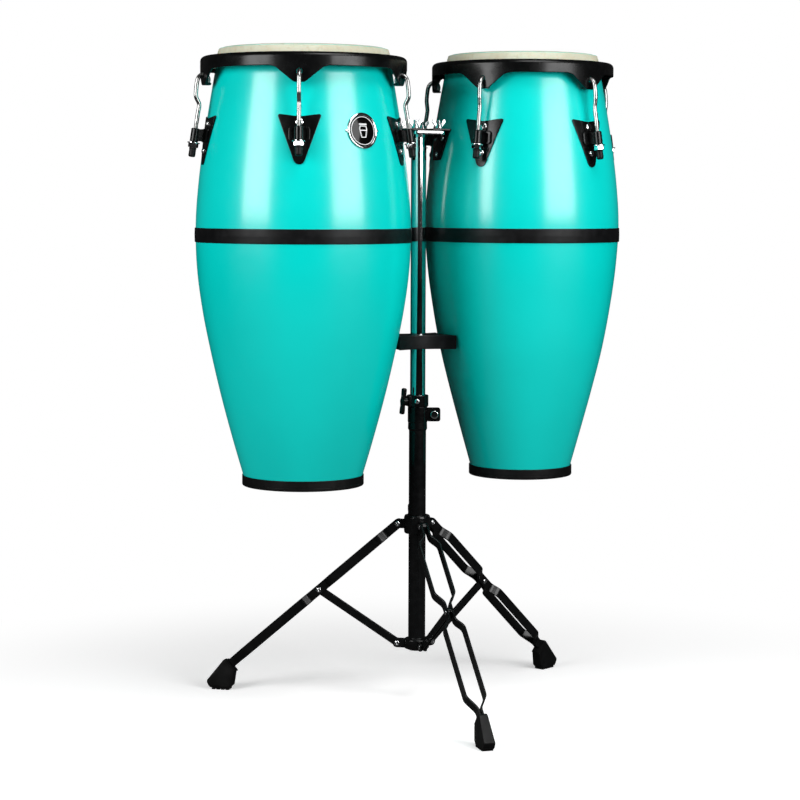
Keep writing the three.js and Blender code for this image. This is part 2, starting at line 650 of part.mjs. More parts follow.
function makeStand(stand) {
  part("mast", mast(), CHROME, stand);
  part("cradle", cradle(), BLACK_ENAMEL, stand);
  part("base_tube", baseTube(), BLACK_ENAMEL, stand);
  part("memory_collar", memoryCollar(), BLACK_ENAMEL, stand);
  part("leg_collar", legCollar(), BLACK_ENAMEL, stand);
  const memoryZ = (MEMORY.bottom + MEMORY.top) / 2;
  addScrew("memory_screw", MEMORY.earAngle, memoryZ, MEMORY.bore, MEMORY.earReach, stand);
  const { screwAngle, screwZ, bossReach, bore } = LEG_COLLAR;
  addScrew("leg_collar_screw", screwAngle, screwZ, bore, bossReach, stand);
  const nut = wingNut();
  const places = [["large_front", -1, -1], ["large_back", -1, 1], ["small_front", 1, -1], ["small_back", 1, 1]];
  for (const [name, sx, sy] of places) {
    const mesh = part(`${name}_wing_nut`, nut, ZINC, stand);
    mesh.position.set(sx * BOLT.x, sy * BOLT.y, DRUM_BOTTOM_Z + BRACKET.top + GAP);
  }
}

// ---- assembly ----

const group = new THREE.Group();
const stand = new THREE.Group();
stand.position.set(MAST_X, MAST_Y, 0);
group.add(stand);
for (const drum of DRUMS) makeDrum(drum, stand);
makeStand(stand);
makeTripod(stand);

export default group;
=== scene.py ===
"""The looks of two conga drums on a double-braced tripod stand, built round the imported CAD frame.

A shape is a bmesh in millimetres in its own axes. A place is a matrix, in metres, that puts it in the
frame. Heights on a drum are measured up from the drum's bottom edge, heights on the stand from the floor.
"""

import json
import math

import bmesh
import bpy
from mathutils import Matrix, Vector, noise


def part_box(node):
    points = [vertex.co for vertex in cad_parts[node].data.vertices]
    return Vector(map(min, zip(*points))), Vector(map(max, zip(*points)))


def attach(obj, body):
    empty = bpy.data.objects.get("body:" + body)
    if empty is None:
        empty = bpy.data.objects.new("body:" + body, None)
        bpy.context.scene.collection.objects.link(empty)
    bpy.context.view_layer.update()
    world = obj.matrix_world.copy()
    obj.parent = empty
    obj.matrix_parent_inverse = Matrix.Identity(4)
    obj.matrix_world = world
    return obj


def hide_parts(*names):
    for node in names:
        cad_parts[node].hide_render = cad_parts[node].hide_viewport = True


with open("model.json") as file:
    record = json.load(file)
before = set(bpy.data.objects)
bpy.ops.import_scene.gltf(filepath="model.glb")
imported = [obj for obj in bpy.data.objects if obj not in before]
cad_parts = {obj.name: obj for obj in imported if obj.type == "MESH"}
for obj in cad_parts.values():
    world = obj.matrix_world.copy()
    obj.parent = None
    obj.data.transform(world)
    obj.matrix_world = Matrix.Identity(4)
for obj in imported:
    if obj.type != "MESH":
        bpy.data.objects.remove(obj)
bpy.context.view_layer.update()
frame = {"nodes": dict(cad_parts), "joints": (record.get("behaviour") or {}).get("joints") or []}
MM = 0.001
GAP = 0.4
HAIR = 1e-6
DRUM_SIDES = 144
REAL_EDGE = 38  # degrees between two faces from which the edge between them stays sharp

# ---- driving sizes that the frame doesn't give, in millimetres ----

SHELL_WALL = 11
BAND = {"middle": 408, "height": 23.5, "proud": 1.5}
BASE_RING = {"wall": 16, "top": 17, "groove": 5.7, "groove_depth": 0.7}
SKIN = {"slow": 0.035, "slow_lift": 0.35, "fine": 0.16, "fine_lift": 0.12, "flat_radius": 100,
        "side_share": 0.9}
HEAD = {"top": 711, "flesh_bottom": 679, "flesh_top": 688, "flesh_inset": 15.3}
RIM = {"bottom": 674, "top": 696, "seat": 688.6, "sheet": 3, "lip_gap": 4.2}
TAB = {"tip": 648, "half_tip": 9, "half_top": 38, "half_root": 47, "fold": 9, "half_fold": 11}
TAB_HOLE = {"height": 664.5, "radius": 5, "drill": 8}
SIDE_PLATE = {"tip": 520, "top": 599.5, "half_width": 35, "notch": 4.5, "sheet": 2.2, "tip_radius": 9.2}
SIDE_PLATE_SCREWS = ((543, 5), (586, 6.6))
LUG = {"bottom": 557, "top": 579, "barrel": 6.8, "offset": 20.4, "pad_half": 16.5, "pad": 5.5}
HOOK = {"radius": 3.5, "bend": 617, "thread_top": 588, "bottom": 538, "pitch": 1.25}
NUT = {"washer_radius": 10, "washer": 1.6, "across": 8.4, "hex": 6.6, "cap_radius": 6, "cap": 15.5}
BADGE = {"height": 574, "radius": 28.5, "ring": 4.2}
BADGE_ANGLES = {"large": -74.5, "small": 112.0}
BRACKET = {"bottom": 532, "top": 583, "half_top": 32, "half_bottom": 14, "sheet": 3, "shell_gap": 0.8}
BRACKET_SCREWS = ((0, 542), (-14, 568), (14, 568))
FLANGE = {"half_width": 46, "sheet": 3, "mast_gap": 2, "web_y": 17, "web_drop": 26}

MAST = {"radius": 12.7, "wall": 1.6, "plate": 6, "half_x": 27.5, "half_y": 50}
BOLT = {"x": 21, "y": 35, "radius": 3}
CRADLE = {"horn_x": 70, "horn_y": 58, "waist_y": 27, "reach": 5}
BASE_TUBE = {"radius": 14.3, "bore": 13.1}
CLAMP = {"bottom": 469, "radius": 16.5, "sleeve_bottom": 454, "sleeve": 15.8, "reach": 38,
         "angle": -22, "half": 7, "bolt_x": 28}
HUB = {"bottom": 87, "top": 104, "radius": 21}
MEMORY = {"radius": 18, "bore": 13.1, "ear": 21}
LEG_COLLAR = {"radius": 22, "bore": 14.7, "boss": 30, "boss_radius": 8}
EAR = {"half": 3.2, "cheek_inner": 2.9, "cheek_outer": 6, "radius": 7.8, "cheek_radius": 7.2}
BAR = {"depth": 15.5, "sheet": 3.2}
BAR_HALVES = {"collar": 5.2, "upper": 17.3, "strut": 4.5, "lower": 16.2, "boot": 2.6}
UPPER_BENDS = (26, 40, 146, 164)
LOWER_BENDS = (200, 213, 350, 372)
STRUT = {"half": 2.5, "end": 6.6, "wall": 1.2}
SCREW = {"shaft": 3.6, "hub_radius": 6.5, "hub": 7, "bar_radius": 4.5, "bar_half": 22, "backed_off": 3.5}
RIVET = {"radius": 4.5, "head": 1.9}
BOOT = {"heel": 326, "toe": 357, "back": 317, "front": 367, "height": 51, "half": 9.8, "half_top": 7.4}

# ---- reading the frame ----


def at(x=0.0, y=0.0, z=0.0):
    """A move in millimetres."""
    return Matrix.Translation(Vector((x, y, z)) * MM)


def spun(degrees, axis="Z"):
    return Matrix.Rotation(math.radians(degrees), 4, axis)


def joint(name):
    return next(j for j in frame["joints"] if j["name"] == name)


def bearing(x, y):
    """The direction of (x, y) in degrees from +X."""
    return math.degrees(math.atan2(y, x))


def apart(one, other):
    """The angle between two directions in degrees, at most 180."""
    return abs((one - other + 180) % 360 - 180)


def middle_of(node):
    low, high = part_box(node)
    return (low + high) / 2


def heights_of(node):
    low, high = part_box(node)
    return low.z / MM, high.z / MM


mast_axis = middle_of("mast")
STAND = Matrix.Translation((mast_axis.x, mast_axis.y, 0))


class Drum:
    """Where a drum stands and how its shell curves, as the CAD shell has it."""

    LEVELS = 10

    def __init__(self, name):
        self.name = name
        self.base = middle_of(f"{name}_shell")
        self.base.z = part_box(f"{name}_base_ring")[0].z
        self.place = Matrix.Translation(self.base)
        low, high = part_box(f"{name}_shell")
        self.foot = (low.z - self.base.z) / MM
        self.top = (high.z - self.base.z) / MM
        self.step = (self.top - self.foot) / self.LEVELS
        heights = [self.foot + k * self.step for k in range(self.LEVELS + 1)]
        self.levels = [self.girth("shell", h - 1, h + 1) for h in heights]
        self.ring = self.girth("base_ring")
        self.rim = self.girth("rim")
        self.crown = self.girth("head", HEAD["top"] - 9, HEAD["top"])
        nuts = [joint(f"{name}_tuning_nut_{k}_turn")["pos_m"] for k in range(1, 6)]
        self.lugs = [bearing(x - self.base.x, y - self.base.y) for x, y, _ in nuts]
        side = STAND.translation - self.base
        self.mast_angle = bearing(side.x, side.y)
        self.mast_reach = math.hypot(side.x, side.y) / MM

    def girth(self, part, low=-math.inf, high=math.inf):
        """The largest radius that a CAD part of the drum has between two heights."""
        largest = 0
        for vertex in frame["nodes"][f"{self.name}_{part}"].data.vertices:
            x, y, z = (vertex.co - self.base) / MM
            if low <= z <= high:
                largest = max(largest, math.hypot(x, y))
        return largest

    def radius(self, height):
        """The shell's outer radius, on a smooth curve through the CAD shell's levels."""
        first, second, *_, last_but_one, last = self.levels
        known = [2 * first - second, *self.levels, 2 * last - last_but_one]
        t = min(max((height - self.foot) / self.step, 0), self.LEVELS - HAIR)
        k = int(t)
        t -= k
        a, b, c, d = known[k : k + 4]
        return b + 0.5 * t * (c - a + t * (2 * a - 5 * b + 4 * c - d + t * (3 * (b - c) + d - a)))

    def hook_x(self, height):
        """How far from the axis the straight part of a hook is at a height."""
        top = self.radius(HOOK["bend"]) + LUG["offset"]
        bottom = self.radius(HOOK["bottom"]) + LUG["offset"]
        share = (HOOK["bend"] - height) / (HOOK["bend"] - HOOK["bottom"])
        return top + (bottom - top) * share

    def hook_tilt(self):
        rise = HOOK["bend"] - HOOK["bottom"]
        return math.degrees(math.atan((self.hook_x(HOOK["bottom"]) - self.hook_x(HOOK["bend"])) / rise))


DRUMS = [Drum("large"), Drum("small")]

# ---- outlines ----


def rounded(points, closed=True, steps=5):
    """An outline whose corners given as (x, y, radius) become arcs."""
    line = []
    for k, (x, y, *radius) in enumerate(points):
        corner = Vector((x, y))
        inner = closed or 0 < k < len(points) - 1
        if not radius or not radius[0] or not inner:
            line.append(corner)
            continue
        before = Vector(points[k - 1][:2]) - corner
        after = Vector(points[(k + 1) % len(points)][:2]) - corner
        half = before.angle(after) / 2
        reach = min(radius[0] / math.tan(half), 0.49 * before.length, 0.49 * after.length)
        middle = (before.normalized() + after.normalized()).normalized()
        centre = corner + middle * (reach / math.cos(half))
        start = corner + before.normalized() * reach - centre
        end = corner + after.normalized() * reach - centre
        line += [centre + start.slerp(end, step / steps) * start.length for step in range(steps + 1)]
    return line


def box_outline(x0, x1, y0, y1, radius=0.0):
    return rounded([(x0, y0, radius), (x1, y0, radius), (x1, y1, radius), (x0, y1, radius)])


def disc_outline(radius, sides, start=0.0):
    turns = [math.radians(start) + 2 * math.pi * k / sides for k in range(sides)]
    return [Vector((radius * math.cos(a), radius * math.sin(a))) for a in turns]


def curve_through(points, pieces):
    """Points on a smooth curve through the given ones, with so many pieces between each two."""
    known = [2 * points[0] - points[1], *points, 2 * points[-1] - points[-2]]
    line = []
    for a, b, c, d in zip(known, known[1:], known[2:], known[3:]):
        for k in range(pieces):
            t = k / pieces
            line.append(b + 0.5 * t * (c - a + t * (2 * a - 5 * b + 4 * c - d + t * (3 * (b - c) + d - a))))
    return [*line, points[-1]]


def height_on(line, x):
    """The height of an outline that runs from left to right, at x."""
    for (x0, y0), (x1, y1) in zip(line, line[1:]):
        if x <= x1:
            return y0 + (y1 - y0) * (x - x0) / max(x1 - x0, 1e-9)
    return line[-1][1]


# ---- shapes ----


def bridge(shape, lower, upper):
    """Faces between two rings of vertices, either of which may be a single point."""
    count = max(len(lower), len(upper))
    for k in range(count):
        n = (k + 1) % count
        corners = [lower[k % len(lower)], lower[n % len(lower)], upper[n % len(upper)], upper[k % len(upper)]]
        unlike = list(dict.fromkeys(corners))
        if len(unlike) > 2:
            shape.faces.new(unlike)


def lathe(profile, sides=64, wobble=None):
    """A profile of (radius, height) turned about Z. Off the axis at both ends, it closes on itself."""
    shape = bmesh.new()
    rings = []
    for radius, height in profile:
        if radius < HAIR:
            rings.append([shape.verts.new((0, 0, height))])
            continue
        outline = disc_outline(radius, sides)
        rings.append([shape.verts.new((x, y, height)) for x, y in outline])
    for lower, upper in zip(rings, rings[1:]):
        bridge(shape, lower, upper)
    if len(rings[0]) > 1 and len(rings[-1]) > 1:
        bridge(shape, rings[-1], rings[0])
    if wobble:
        for vertex in shape.verts:
            vertex.co += wobble(vertex.co)
    return shape


def plate(outline, bottom, top, bevel=0.0, cuts=0):
    """An outline given a thickness along Z, its rims rounded, and sliced so that it can bend."""
    shape = bmesh.new()
    low = [shape.verts.new((x, y, bottom)) for x, y in outline]
    high = [shape.verts.new((x, y, top)) for x, y in outline]
    shape.faces.new(low)
    shape.faces.new(high)
    bridge(shape, low, high)
    bmesh.ops.recalc_face_normals(shape, faces=shape.faces)
    if bevel:
        rims = [e for e in shape.edges if abs(e.verts[0].co.z - e.verts[1].co.z) < HAIR]
        bmesh.ops.bevel(shape, geom=rims, offset=bevel, segments=2, affect="EDGES", profile=0.6)
    if cuts:
        widths = [x for x, _ in outline]
        tall = [y for _, y in outline]
        slice_up(shape, (1, 0, 0), min(widths), max(widths), cuts)
        slice_up(shape, (0, 1, 0), min(tall), max(tall), cuts)
    return shape


def slice_up(shape, normal, low, high, cuts):
    for k in range(1, cuts):
        place = Vector(normal) * (low + (high - low) * k / cuts)
        everything = [*shape.verts, *shape.edges, *shape.faces]
        bmesh.ops.bisect_plane(shape, geom=everything, plane_co=place, plane_no=normal)


def sweep(path, section, binormal, size=None):
    """A section of (across, along the binormal) pairs carried down a path square to the binormal.
    size(k, corner) gives a section corner of its own at path point k."""
    shape = bmesh.new()
    rings = []
    for k, point in enumerate(path):
        along = (path[min(k + 1, len(path) - 1)] - path[max(k - 1, 0)]).normalized()
        across = binormal.cross(along)
        corners = [size(k, corner) for corner in section] if size else section
        rings.append([shape.verts.new(point + across * a + binormal * b) for a, b in corners])
    for lower, upper in zip(rings, rings[1:]):
        bridge(shape, lower, upper)
    shape.faces.new(rings[0])
    shape.faces.new(rings[-1])
    return shape


def rod(radius, start, end, sides=24, edge=0.4):
    """A cylinder between two points, with softened rims."""
    start, end = Vector(start), Vector(end)
    length = (end - start).length
    edge = min(edge, length / 3, radius / 2)
    rim = radius - edge
    profile = [(0, 0), (rim, 0), (radius, edge), (radius, length - edge), (rim, length), (0, length)]
    turn = Vector((0, 0, 1)).rotation_difference(end - start).to_matrix().to_4x4()
    return moved(lathe(profile, sides), Matrix.Translation(start) @ turn)


def moved(shape, matrix):
    bmesh.ops.transform(shape, matrix=matrix, verts=shape.verts)
    return shape


def shifted(shape, x=0.0, y=0.0, z=0.0):
    return moved(shape, Matrix.Translation((x, y, z)))


def facing(shape, degrees):
    return moved(shape, spun(degrees))


def upright(shape):
    """Turns a plate made in X-Y so that its outline stands in X-Z, its thickness centred on Y."""
    return moved(shape, spun(90, "X"))


def flipped(shape):
    """A mirror copy across the X-Z plane."""
    other = shape.copy()
    bmesh.ops.transform(other, matrix=Matrix.Scale(-1, 4, (0, 1, 0)), verts=other.verts)
    bmesh.ops.reverse_faces(other, faces=other.faces)
    return other


def painted(shape, index):
    for face in shape.faces:
        face.material_index = index
    return shape


def together(*shapes):
    whole = bmesh.new()
    for shape in shapes:
        mesh = bpy.data.meshes.new("part")
        shape.to_mesh(mesh)
        shape.free()
        whole.from_mesh(mesh)
        bpy.data.meshes.remove(mesh)
    return whole


def tidied(shape):
    bmesh.ops.remove_doubles(shape, verts=shape.verts, dist=1e-4)
    bmesh.ops.recalc_face_normals(shape, faces=shape.faces)
    return shape


def less(shape, tool):
    """A shape with another cut out of it."""
    things = []
    for name, body in (("shape", shape), ("tool", tool)):
        mesh = bpy.data.meshes.new(name)
        tidied(body).to_mesh(mesh)
        body.free()
        things.append(bpy.data.objects.new(name, mesh))
        bpy.context.collection.objects.link(things[-1])
    cut = things[0].modifiers.new("cut", "BOOLEAN")
    cut.operation = "DIFFERENCE"
    cut.solver = "EXACT"
    cut.object = things[1]
    whole = bmesh.new()
    whole.from_object(things[0], bpy.context.evaluated_depsgraph_get())
    for thing in things:
        mesh = thing.data
        bpy.data.objects.remove(thing)
        bpy.data.meshes.remove(mesh)
    return whole


def wrapped(shape, drum):
    """Lays a flat shape (sideways, height, thickness) on a drum's shell, its middle facing +X."""
    for vertex in shape.verts:
        sideways, height, proud = vertex.co
        skin = drum.radius(height)
        angle = sideways / skin
        out = skin + proud
        vertex.co = (out * math.cos(angle), out * math.sin(angle), height)
    return shape


def mesh_of(name, shape, *finishes):
    """A finished mesh in metres, smooth but for its real edges."""
    tidied(shape)
    bmesh.ops.transform(shape, matrix=Matrix.Scale(MM, 4), verts=shape.verts)
    mesh = bpy.data.meshes.new(name)
    shape.to_mesh(mesh)
    shape.free()
    for face in mesh.polygons:
        face.use_smooth = True
    mesh.set_sharp_from_angle(angle=math.radians(REAL_EDGE))
    for finish in finishes:
        mesh.materials.append(finish)
    return mesh


def piece(name, mesh, place, body, slot, *stands_for):
    """Puts one visible piece in its place, on its body."""
    thing = bpy.data.objects.new(name, mesh)
    bpy.context.collection.objects.link(thing)
    thing.matrix_world = place
    crisp = thing.modifiers.new("crisp", "WEIGHTED_NORMAL")
    crisp.keep_sharp = True
    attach(thing, body)
    if stands_for:
        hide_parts(*stands_for)
    return thing


# ---- materials ----


class Finish:
    """A Principled material and the nodes that vary it."""

    def __init__(self, name, colour, roughness, metallic=0.0, **sockets):
        self.material = bpy.data.materials.new(name)
        self.material.use_nodes = True
        self.nodes = self.material.node_tree.nodes
        self.links = self.material.node_tree.links
        self.shader = self.nodes["Principled BSDF"]
        self.shader.inputs["Base Color"].default_value = (*colour, 1)
        self.shader.inputs["Roughness"].default_value = roughness
        self.shader.inputs["Metallic"].default_value = metallic
        for socket, value in sockets.items():
            self.shader.inputs[socket.replace("_", " ")].default_value = value
        self.place = self.nodes.new("ShaderNodeTexCoord").outputs["Object"]
        self.heights = []

    def noise(self, scale, detail=3.0, stretch=None):
        """A noise whose cells are about 1/scale metres across, stretched along an axis if asked."""
        made = self.nodes.new("ShaderNodeTexNoise")
        made.inputs["Scale"].default_value = scale
        made.inputs["Detail"].default_value = detail
        place = self.place
        if stretch:
            squeeze = self.nodes.new("ShaderNodeMapping")
            squeeze.inputs["Scale"].default_value = stretch
            self.links.new(place, squeeze.inputs["Vector"])
            place = squeeze.outputs["Vector"]
        self.links.new(place, made.inputs["Vector"])
        return made.outputs["Fac"]

    def cells(self, scale):
        made = self.nodes.new("ShaderNodeTexVoronoi")
        made.inputs["Scale"].default_value = scale
        self.links.new(self.place, made.inputs["Vector"])
        return made.outputs["Distance"]

    def between(self, source, low, high, start=0.3, end=0.7):
        """A number that goes from low to high as the source goes from start to end."""
        made = self.nodes.new("ShaderNodeMapRange")
        for socket, value in (("From Min", start), ("From Max", end), ("To Min", low), ("To Max", high)):
            made.inputs[socket].default_value = value
        self.links.new(source, made.inputs["Value"])
        return made.outputs["Result"]

    def blend(self, share, one, other):
        """A colour between two, either of which may come from another blend."""
        made = self.nodes.new("ShaderNodeMix")
        made.data_type = "RGBA"
        self.links.new(share, made.inputs["Factor"])
        for socket, colour in ((made.inputs[6], one), (made.inputs[7], other)):
            if isinstance(colour, tuple):
                socket.default_value = (*colour, 1)
            else:
                self.links.new(colour, socket)
        return made.outputs[2]

    def colour(self, source):
        self.links.new(source, self.shader.inputs["Base Color"])
        return self

    def rough(self, source):
        self.links.new(source, self.shader.inputs["Roughness"])
        return self

    def bump(self, source, depth, strength=1.0):
        """Relief of a depth in metres, on top of any relief that is there."""
        made = self.nodes.new("ShaderNodeBump")
        made.inputs["Distance"].default_value = depth
        made.inputs["Strength"].default_value = strength
        self.links.new(source, made.inputs["Height"])
        if self.heights:
            self.links.new(self.heights[-1], made.inputs["Normal"])
        self.heights.append(made.outputs["Normal"])
        self.links.new(made.outputs["Normal"], self.shader.inputs["Normal"])
        return self


TEAL = (0.0, 0.66, 0.60)
TEAL_DEEP = (0.0, 0.61, 0.555)


def lacquer():
    made = Finish("teal_lacquer", TEAL, 0.22, Specular_IOR_Level=0.72)
    made.colour(made.blend(made.between(made.noise(5), 0, 1), TEAL, TEAL_DEEP))
    made.rough(made.between(made.noise(60, 4), 0.2, 0.24))
    made.bump(made.noise(220, 2), 0.00003, 0.35)
    return made.bump(made.noise(14, 1, (1, 1, 0.2)), 0.0002, 0.12).material


def raw_wood():
    made = Finish("raw_oak", (0.42, 0.25, 0.12), 0.65)
    grain = made.between(made.noise(30, 6, (9, 9, 0.5)), 0, 1)
    made.colour(made.blend(grain, (0.50, 0.32, 0.16), (0.30, 0.16, 0.07)))
    return made.bump(grain, 0.0003, 0.4).material


def hide():
    made = Finish("rawhide", (0.6, 0.59, 0.46), 0.6, Subsurface_Weight=0.12, Subsurface_Scale=0.003)
    cloud = made.between(made.noise(16, 6), 0, 1, 0.32, 0.68)
    pale = made.blend(cloud, (0.62, 0.625, 0.50), (0.52, 0.50, 0.37))
    fleck = made.between(made.noise(140, 5), 0, 0.6, 0.52, 0.72)
    vein = made.between(made.noise(26, 8, (1, 2.5, 1)), 0, 0.45, 0.5, 0.62)
    made.colour(made.blend(vein, made.blend(fleck, pale, (0.47, 0.42, 0.28)), (0.50, 0.47, 0.33)))
    made.rough(made.between(made.noise(45, 4), 0.5, 0.72))
    made.bump(made.noise(420, 3), 0.00012, 0.5)
    return made.bump(made.noise(38, 4), 0.0006, 0.35).material


def powder_coat(name, colour, roughness, speckle):
    """Black paint baked on steel: a fine orange peel with a slightly uneven gloss."""
    made = Finish(name, colour, roughness, Specular_IOR_Level=0.3)
    lighter = tuple(2.2 * c for c in colour)
    made.colour(made.blend(made.between(made.noise(90, 5), 0, 1, 0.45, 0.75), colour, lighter))
    made.rough(made.between(made.noise(35, 4), roughness - 0.05, roughness + 0.07))
    return made.bump(made.noise(speckle, 2), 0.00006, 0.3).material


def moulded(name, colour, roughness):
    """Black rubber or plastic: matt, with a fine grain and faint scuffs."""
    made = Finish(name, colour, roughness, Specular_IOR_Level=0.22)
    lighter = tuple(2.6 * c for c in colour)
    made.colour(made.blend(made.between(made.noise(55, 7), 0, 1, 0.5, 0.8), colour, lighter))
    made.rough(made.between(made.noise(70, 5), roughness - 0.08, roughness + 0.08))
    return made.bump(made.cells(1600), 0.00008, 0.25).material


def bright(name, colour, roughness):
    """Plated steel: mirror bright, with faint polishing marks and a breath of haze."""
    made = Finish(name, colour, roughness, metallic=1.0)
    made.rough(made.between(made.noise(25, 5), roughness * 0.7, roughness * 1.6))
    duller = tuple(0.88 * c for c in colour)
    made.colour(made.blend(made.between(made.noise(60, 4), 0, 1, 0.5, 0.8), colour, duller))
    return made.bump(made.noise(500, 2, (1, 1, 0.05)), 0.00001, 0.15).material


LACQUER = lacquer()
RAW_WOOD = raw_wood()
HIDE = hide()
HARDWARE = powder_coat("black_powder_coat", (0.0018, 0.0019, 0.002), 0.24, 700)
ENAMEL = powder_coat("black_enamel", (0.0022, 0.0023, 0.0024), 0.2, 500)
PLASTIC = moulded("black_plastic", (0.0035, 0.0036, 0.004), 0.4)
RUBBER = moulded("black_rubber", (0.003, 0.003, 0.003), 0.45)
CHROME = bright("chrome", (0.80, 0.81, 0.82), 0.06)
STEEL = bright("plated_steel", (0.42, 0.42, 0.41), 0.26)
ZINC = bright("bright_zinc", (0.62, 0.63, 0.64), 0.2)
GLOSS_BLACK = Finish("gloss_black", (0.002, 0.002, 0.002), 0.08, Specular_IOR_Level=0.2).material
WHITE_ENAMEL = Finish("white_enamel", (0.75, 0.76, 0.77), 0.3).material

# ---- drums ----


def even(start, end, steps):
    return [start + (end - start) * k / steps for k in range(steps + 1)]


def shell_shape(drum):
    outside = [(drum.radius(h), h) for h in even(drum.foot, drum.top, 72)]
    inside = [(drum.radius(h) - SHELL_WALL, h) for h in even(drum.top, drum.foot, 48)]
    shape = lathe([*outside, *inside], DRUM_SIDES)
    for face in shape.faces:
        x, y, z = face.calc_center_median()
        face.material_index = int(math.hypot(x, y) < drum.radius(z) - 1)
    return shape


def band_shape(drum):
    half = BAND["height"] / 2
    low, high = BAND["middle"] - half, BAND["middle"] + half
    outer = drum.radius(BAND["middle"]) + BAND["proud"]
    inner = drum.radius(low) - 1
    profile = rounded([(inner, low), (outer, low, 1.2), (outer + 0.3, BAND["middle"], 30),
                       (outer, high, 1.2), (inner, high)])
    return lathe(profile, DRUM_SIDES)


def base_ring_shape(drum):
    outer = drum.ring
    inner = outer - BASE_RING["wall"]
    seat = drum.foot - GAP
    top, groove = BASE_RING["top"], BASE_RING["groove"]
    return lathe(rounded([
        (inner, 0, 1.5), (outer, 0, 2.2), (outer, groove - 0.5, 0.4),
        (outer - BASE_RING["groove_depth"], groove, 0.3), (outer, groove + 0.5, 0.4), (outer, top, 1.6),
        (drum.radius(top) + 0.1, top), (drum.radius(seat) + 0.1, seat), (inner, seat, 1),
    ], steps=4), DRUM_SIDES)


def skin_wobble(point):
    """The slight unevenness of a dried hide."""
    slow = noise.noise(point * SKIN["slow"]) * SKIN["slow_lift"]
    lift = slow + noise.noise(point * SKIN["fine"]) * SKIN["fine_lift"]
    out = Vector((point.x, point.y, 0))
    if out.length < SKIN["flat_radius"]:
        return Vector((0, 0, lift))
    return out.normalized() * lift * SKIN["side_share"]


def head_shape(drum):
    crown, top = drum.crown, HEAD["top"] - 0.5
    flesh = drum.rim - HEAD["flesh_inset"]
    skirt = drum.radius(HEAD["flesh_bottom"]) + GAP
    inside = drum.radius(drum.top) + GAP
    disc = [(radius, top) for radius in even(0, crown - 20, 14)]
    rest = rounded([
        (crown - 20, top), (crown - 1.5, top, 26), (crown + 0.6, HEAD["flesh_top"] + 3, 6),
        (flesh, HEAD["flesh_top"], 2), (flesh, HEAD["flesh_bottom"], 2), (skirt, HEAD["flesh_bottom"]),
        (inside, top - 2.4), (0, top - 2.4),
    ], closed=False, steps=7)
    return lathe([*disc, *rest[1:]], DRUM_SIDES, skin_wobble)


def tab_edge(sideways):
    """Height of the rim's lower edge, and how far its fold goes in, at a distance from a lug's middle."""
    tip, half_tip, root = TAB["tip"], TAB["half_tip"], RIM["bottom"]
    line = rounded([(0, tip), (half_tip, tip, half_tip), (TAB["half_top"], root - 2.5, 5),
                    (TAB["half_root"], root, 8), (60, root)], closed=False)
    fold = TAB["fold"] * min(max((TAB["half_fold"] - sideways) / 2, 0), 1)
    return height_on(line, sideways), fold


def rim_section(drum, bottom, fold):
    outer, inner, lip = drum.rim, drum.rim - RIM["sheet"], drum.crown + RIM["lip_gap"]
    top, seat = RIM["top"], RIM["seat"]
    return rounded([
        (lip, seat, 0.6), (lip, top - 0.3, 2.2), (outer, top, 7.8), (outer, bottom, 1.2),
        (inner - fold, bottom, 0.8), (inner - fold, bottom + 3, 0.8), (inner - 0.1, bottom + 3.2),
        (inner, seat, 2.5),
    ], steps=5)


def rim_angles(drum):
    """Even steps round the rim, with finer ones across each tab."""
    half_tab, clear = 17, 17.4
    fine = [lug + step for lug in drum.lugs for step in even(-half_tab, half_tab, 44)]
    coarse = [a for a in even(0, 358.5, 239) if all(apart(a, lug) > clear for lug in drum.lugs)]
    return sorted(a % 360 for a in [*fine, *coarse])


def rim_shape(drum):
    shape = bmesh.new()
    rings = []
    for angle in rim_angles(drum):
        off = min(apart(angle, lug) for lug in drum.lugs)
        section = rim_section(drum, *tab_edge(math.radians(off) * drum.rim))
        c, s = math.cos(math.radians(angle)), math.sin(math.radians(angle))
        rings.append([shape.verts.new((r * c, r * s, z)) for r, z in section])
    for lower, upper in zip(rings, [*rings[1:], rings[0]]):
        bridge(shape, lower, upper)
    near, far, height = drum.rim - TAB_HOLE["drill"], drum.rim + TAB_HOLE["drill"], TAB_HOLE["height"]
    holes = [facing(rod(TAB_HOLE["radius"], (near, 0, height), (far, 0, height)), lug) for lug in drum.lugs]
    return less(shape, together(*holes))


def side_plate_shape(drum):
    half, tip, top = SIDE_PLATE["half_width"], SIDE_PLATE["tip"], SIDE_PLATE["top"]
    lean = math.atan2(half - 9, top - tip - 8)
    radius = SIDE_PLATE["tip_radius"]
    point = tip - radius * (1 / math.sin(lean) - 1)
    notch = top - SIDE_PLATE["notch"]
    outline = rounded([(0, point, radius), (half, top, 3), (0, notch, 20), (-half, top, 3)], steps=7)
    blade = plate(outline, 0.1, SIDE_PLATE["sheet"], 0.7, 14)
    low, high = LUG["bottom"], LUG["top"]
    pad = plate(box_outline(-LUG["pad_half"], LUG["pad_half"], low, high, 5), 0.5, LUG["pad"], 1.6, 10)
    hollow = plate(box_outline(-11.5, 11.5, low + 3, high - 3, 3), LUG["pad"] - 1.6, LUG["pad"] + 2)
    flat = together(blade, less(pad, hollow))
    foot, head = drum.hook_x(low), drum.hook_x(high)
    barrel = rod(LUG["barrel"], (foot, 0, low), (head, 0, high), 32, 1.2)
    skin = drum.radius(high)
    web = upright(plate(rounded([
        (skin + 1, low + 1), (foot - 3, low + 1.5), (head - 3, high - 1.5), (skin + 1, high - 1),
    ]), -5, 5, 1.2))
    return together(wrapped(flat, drum), barrel, web)


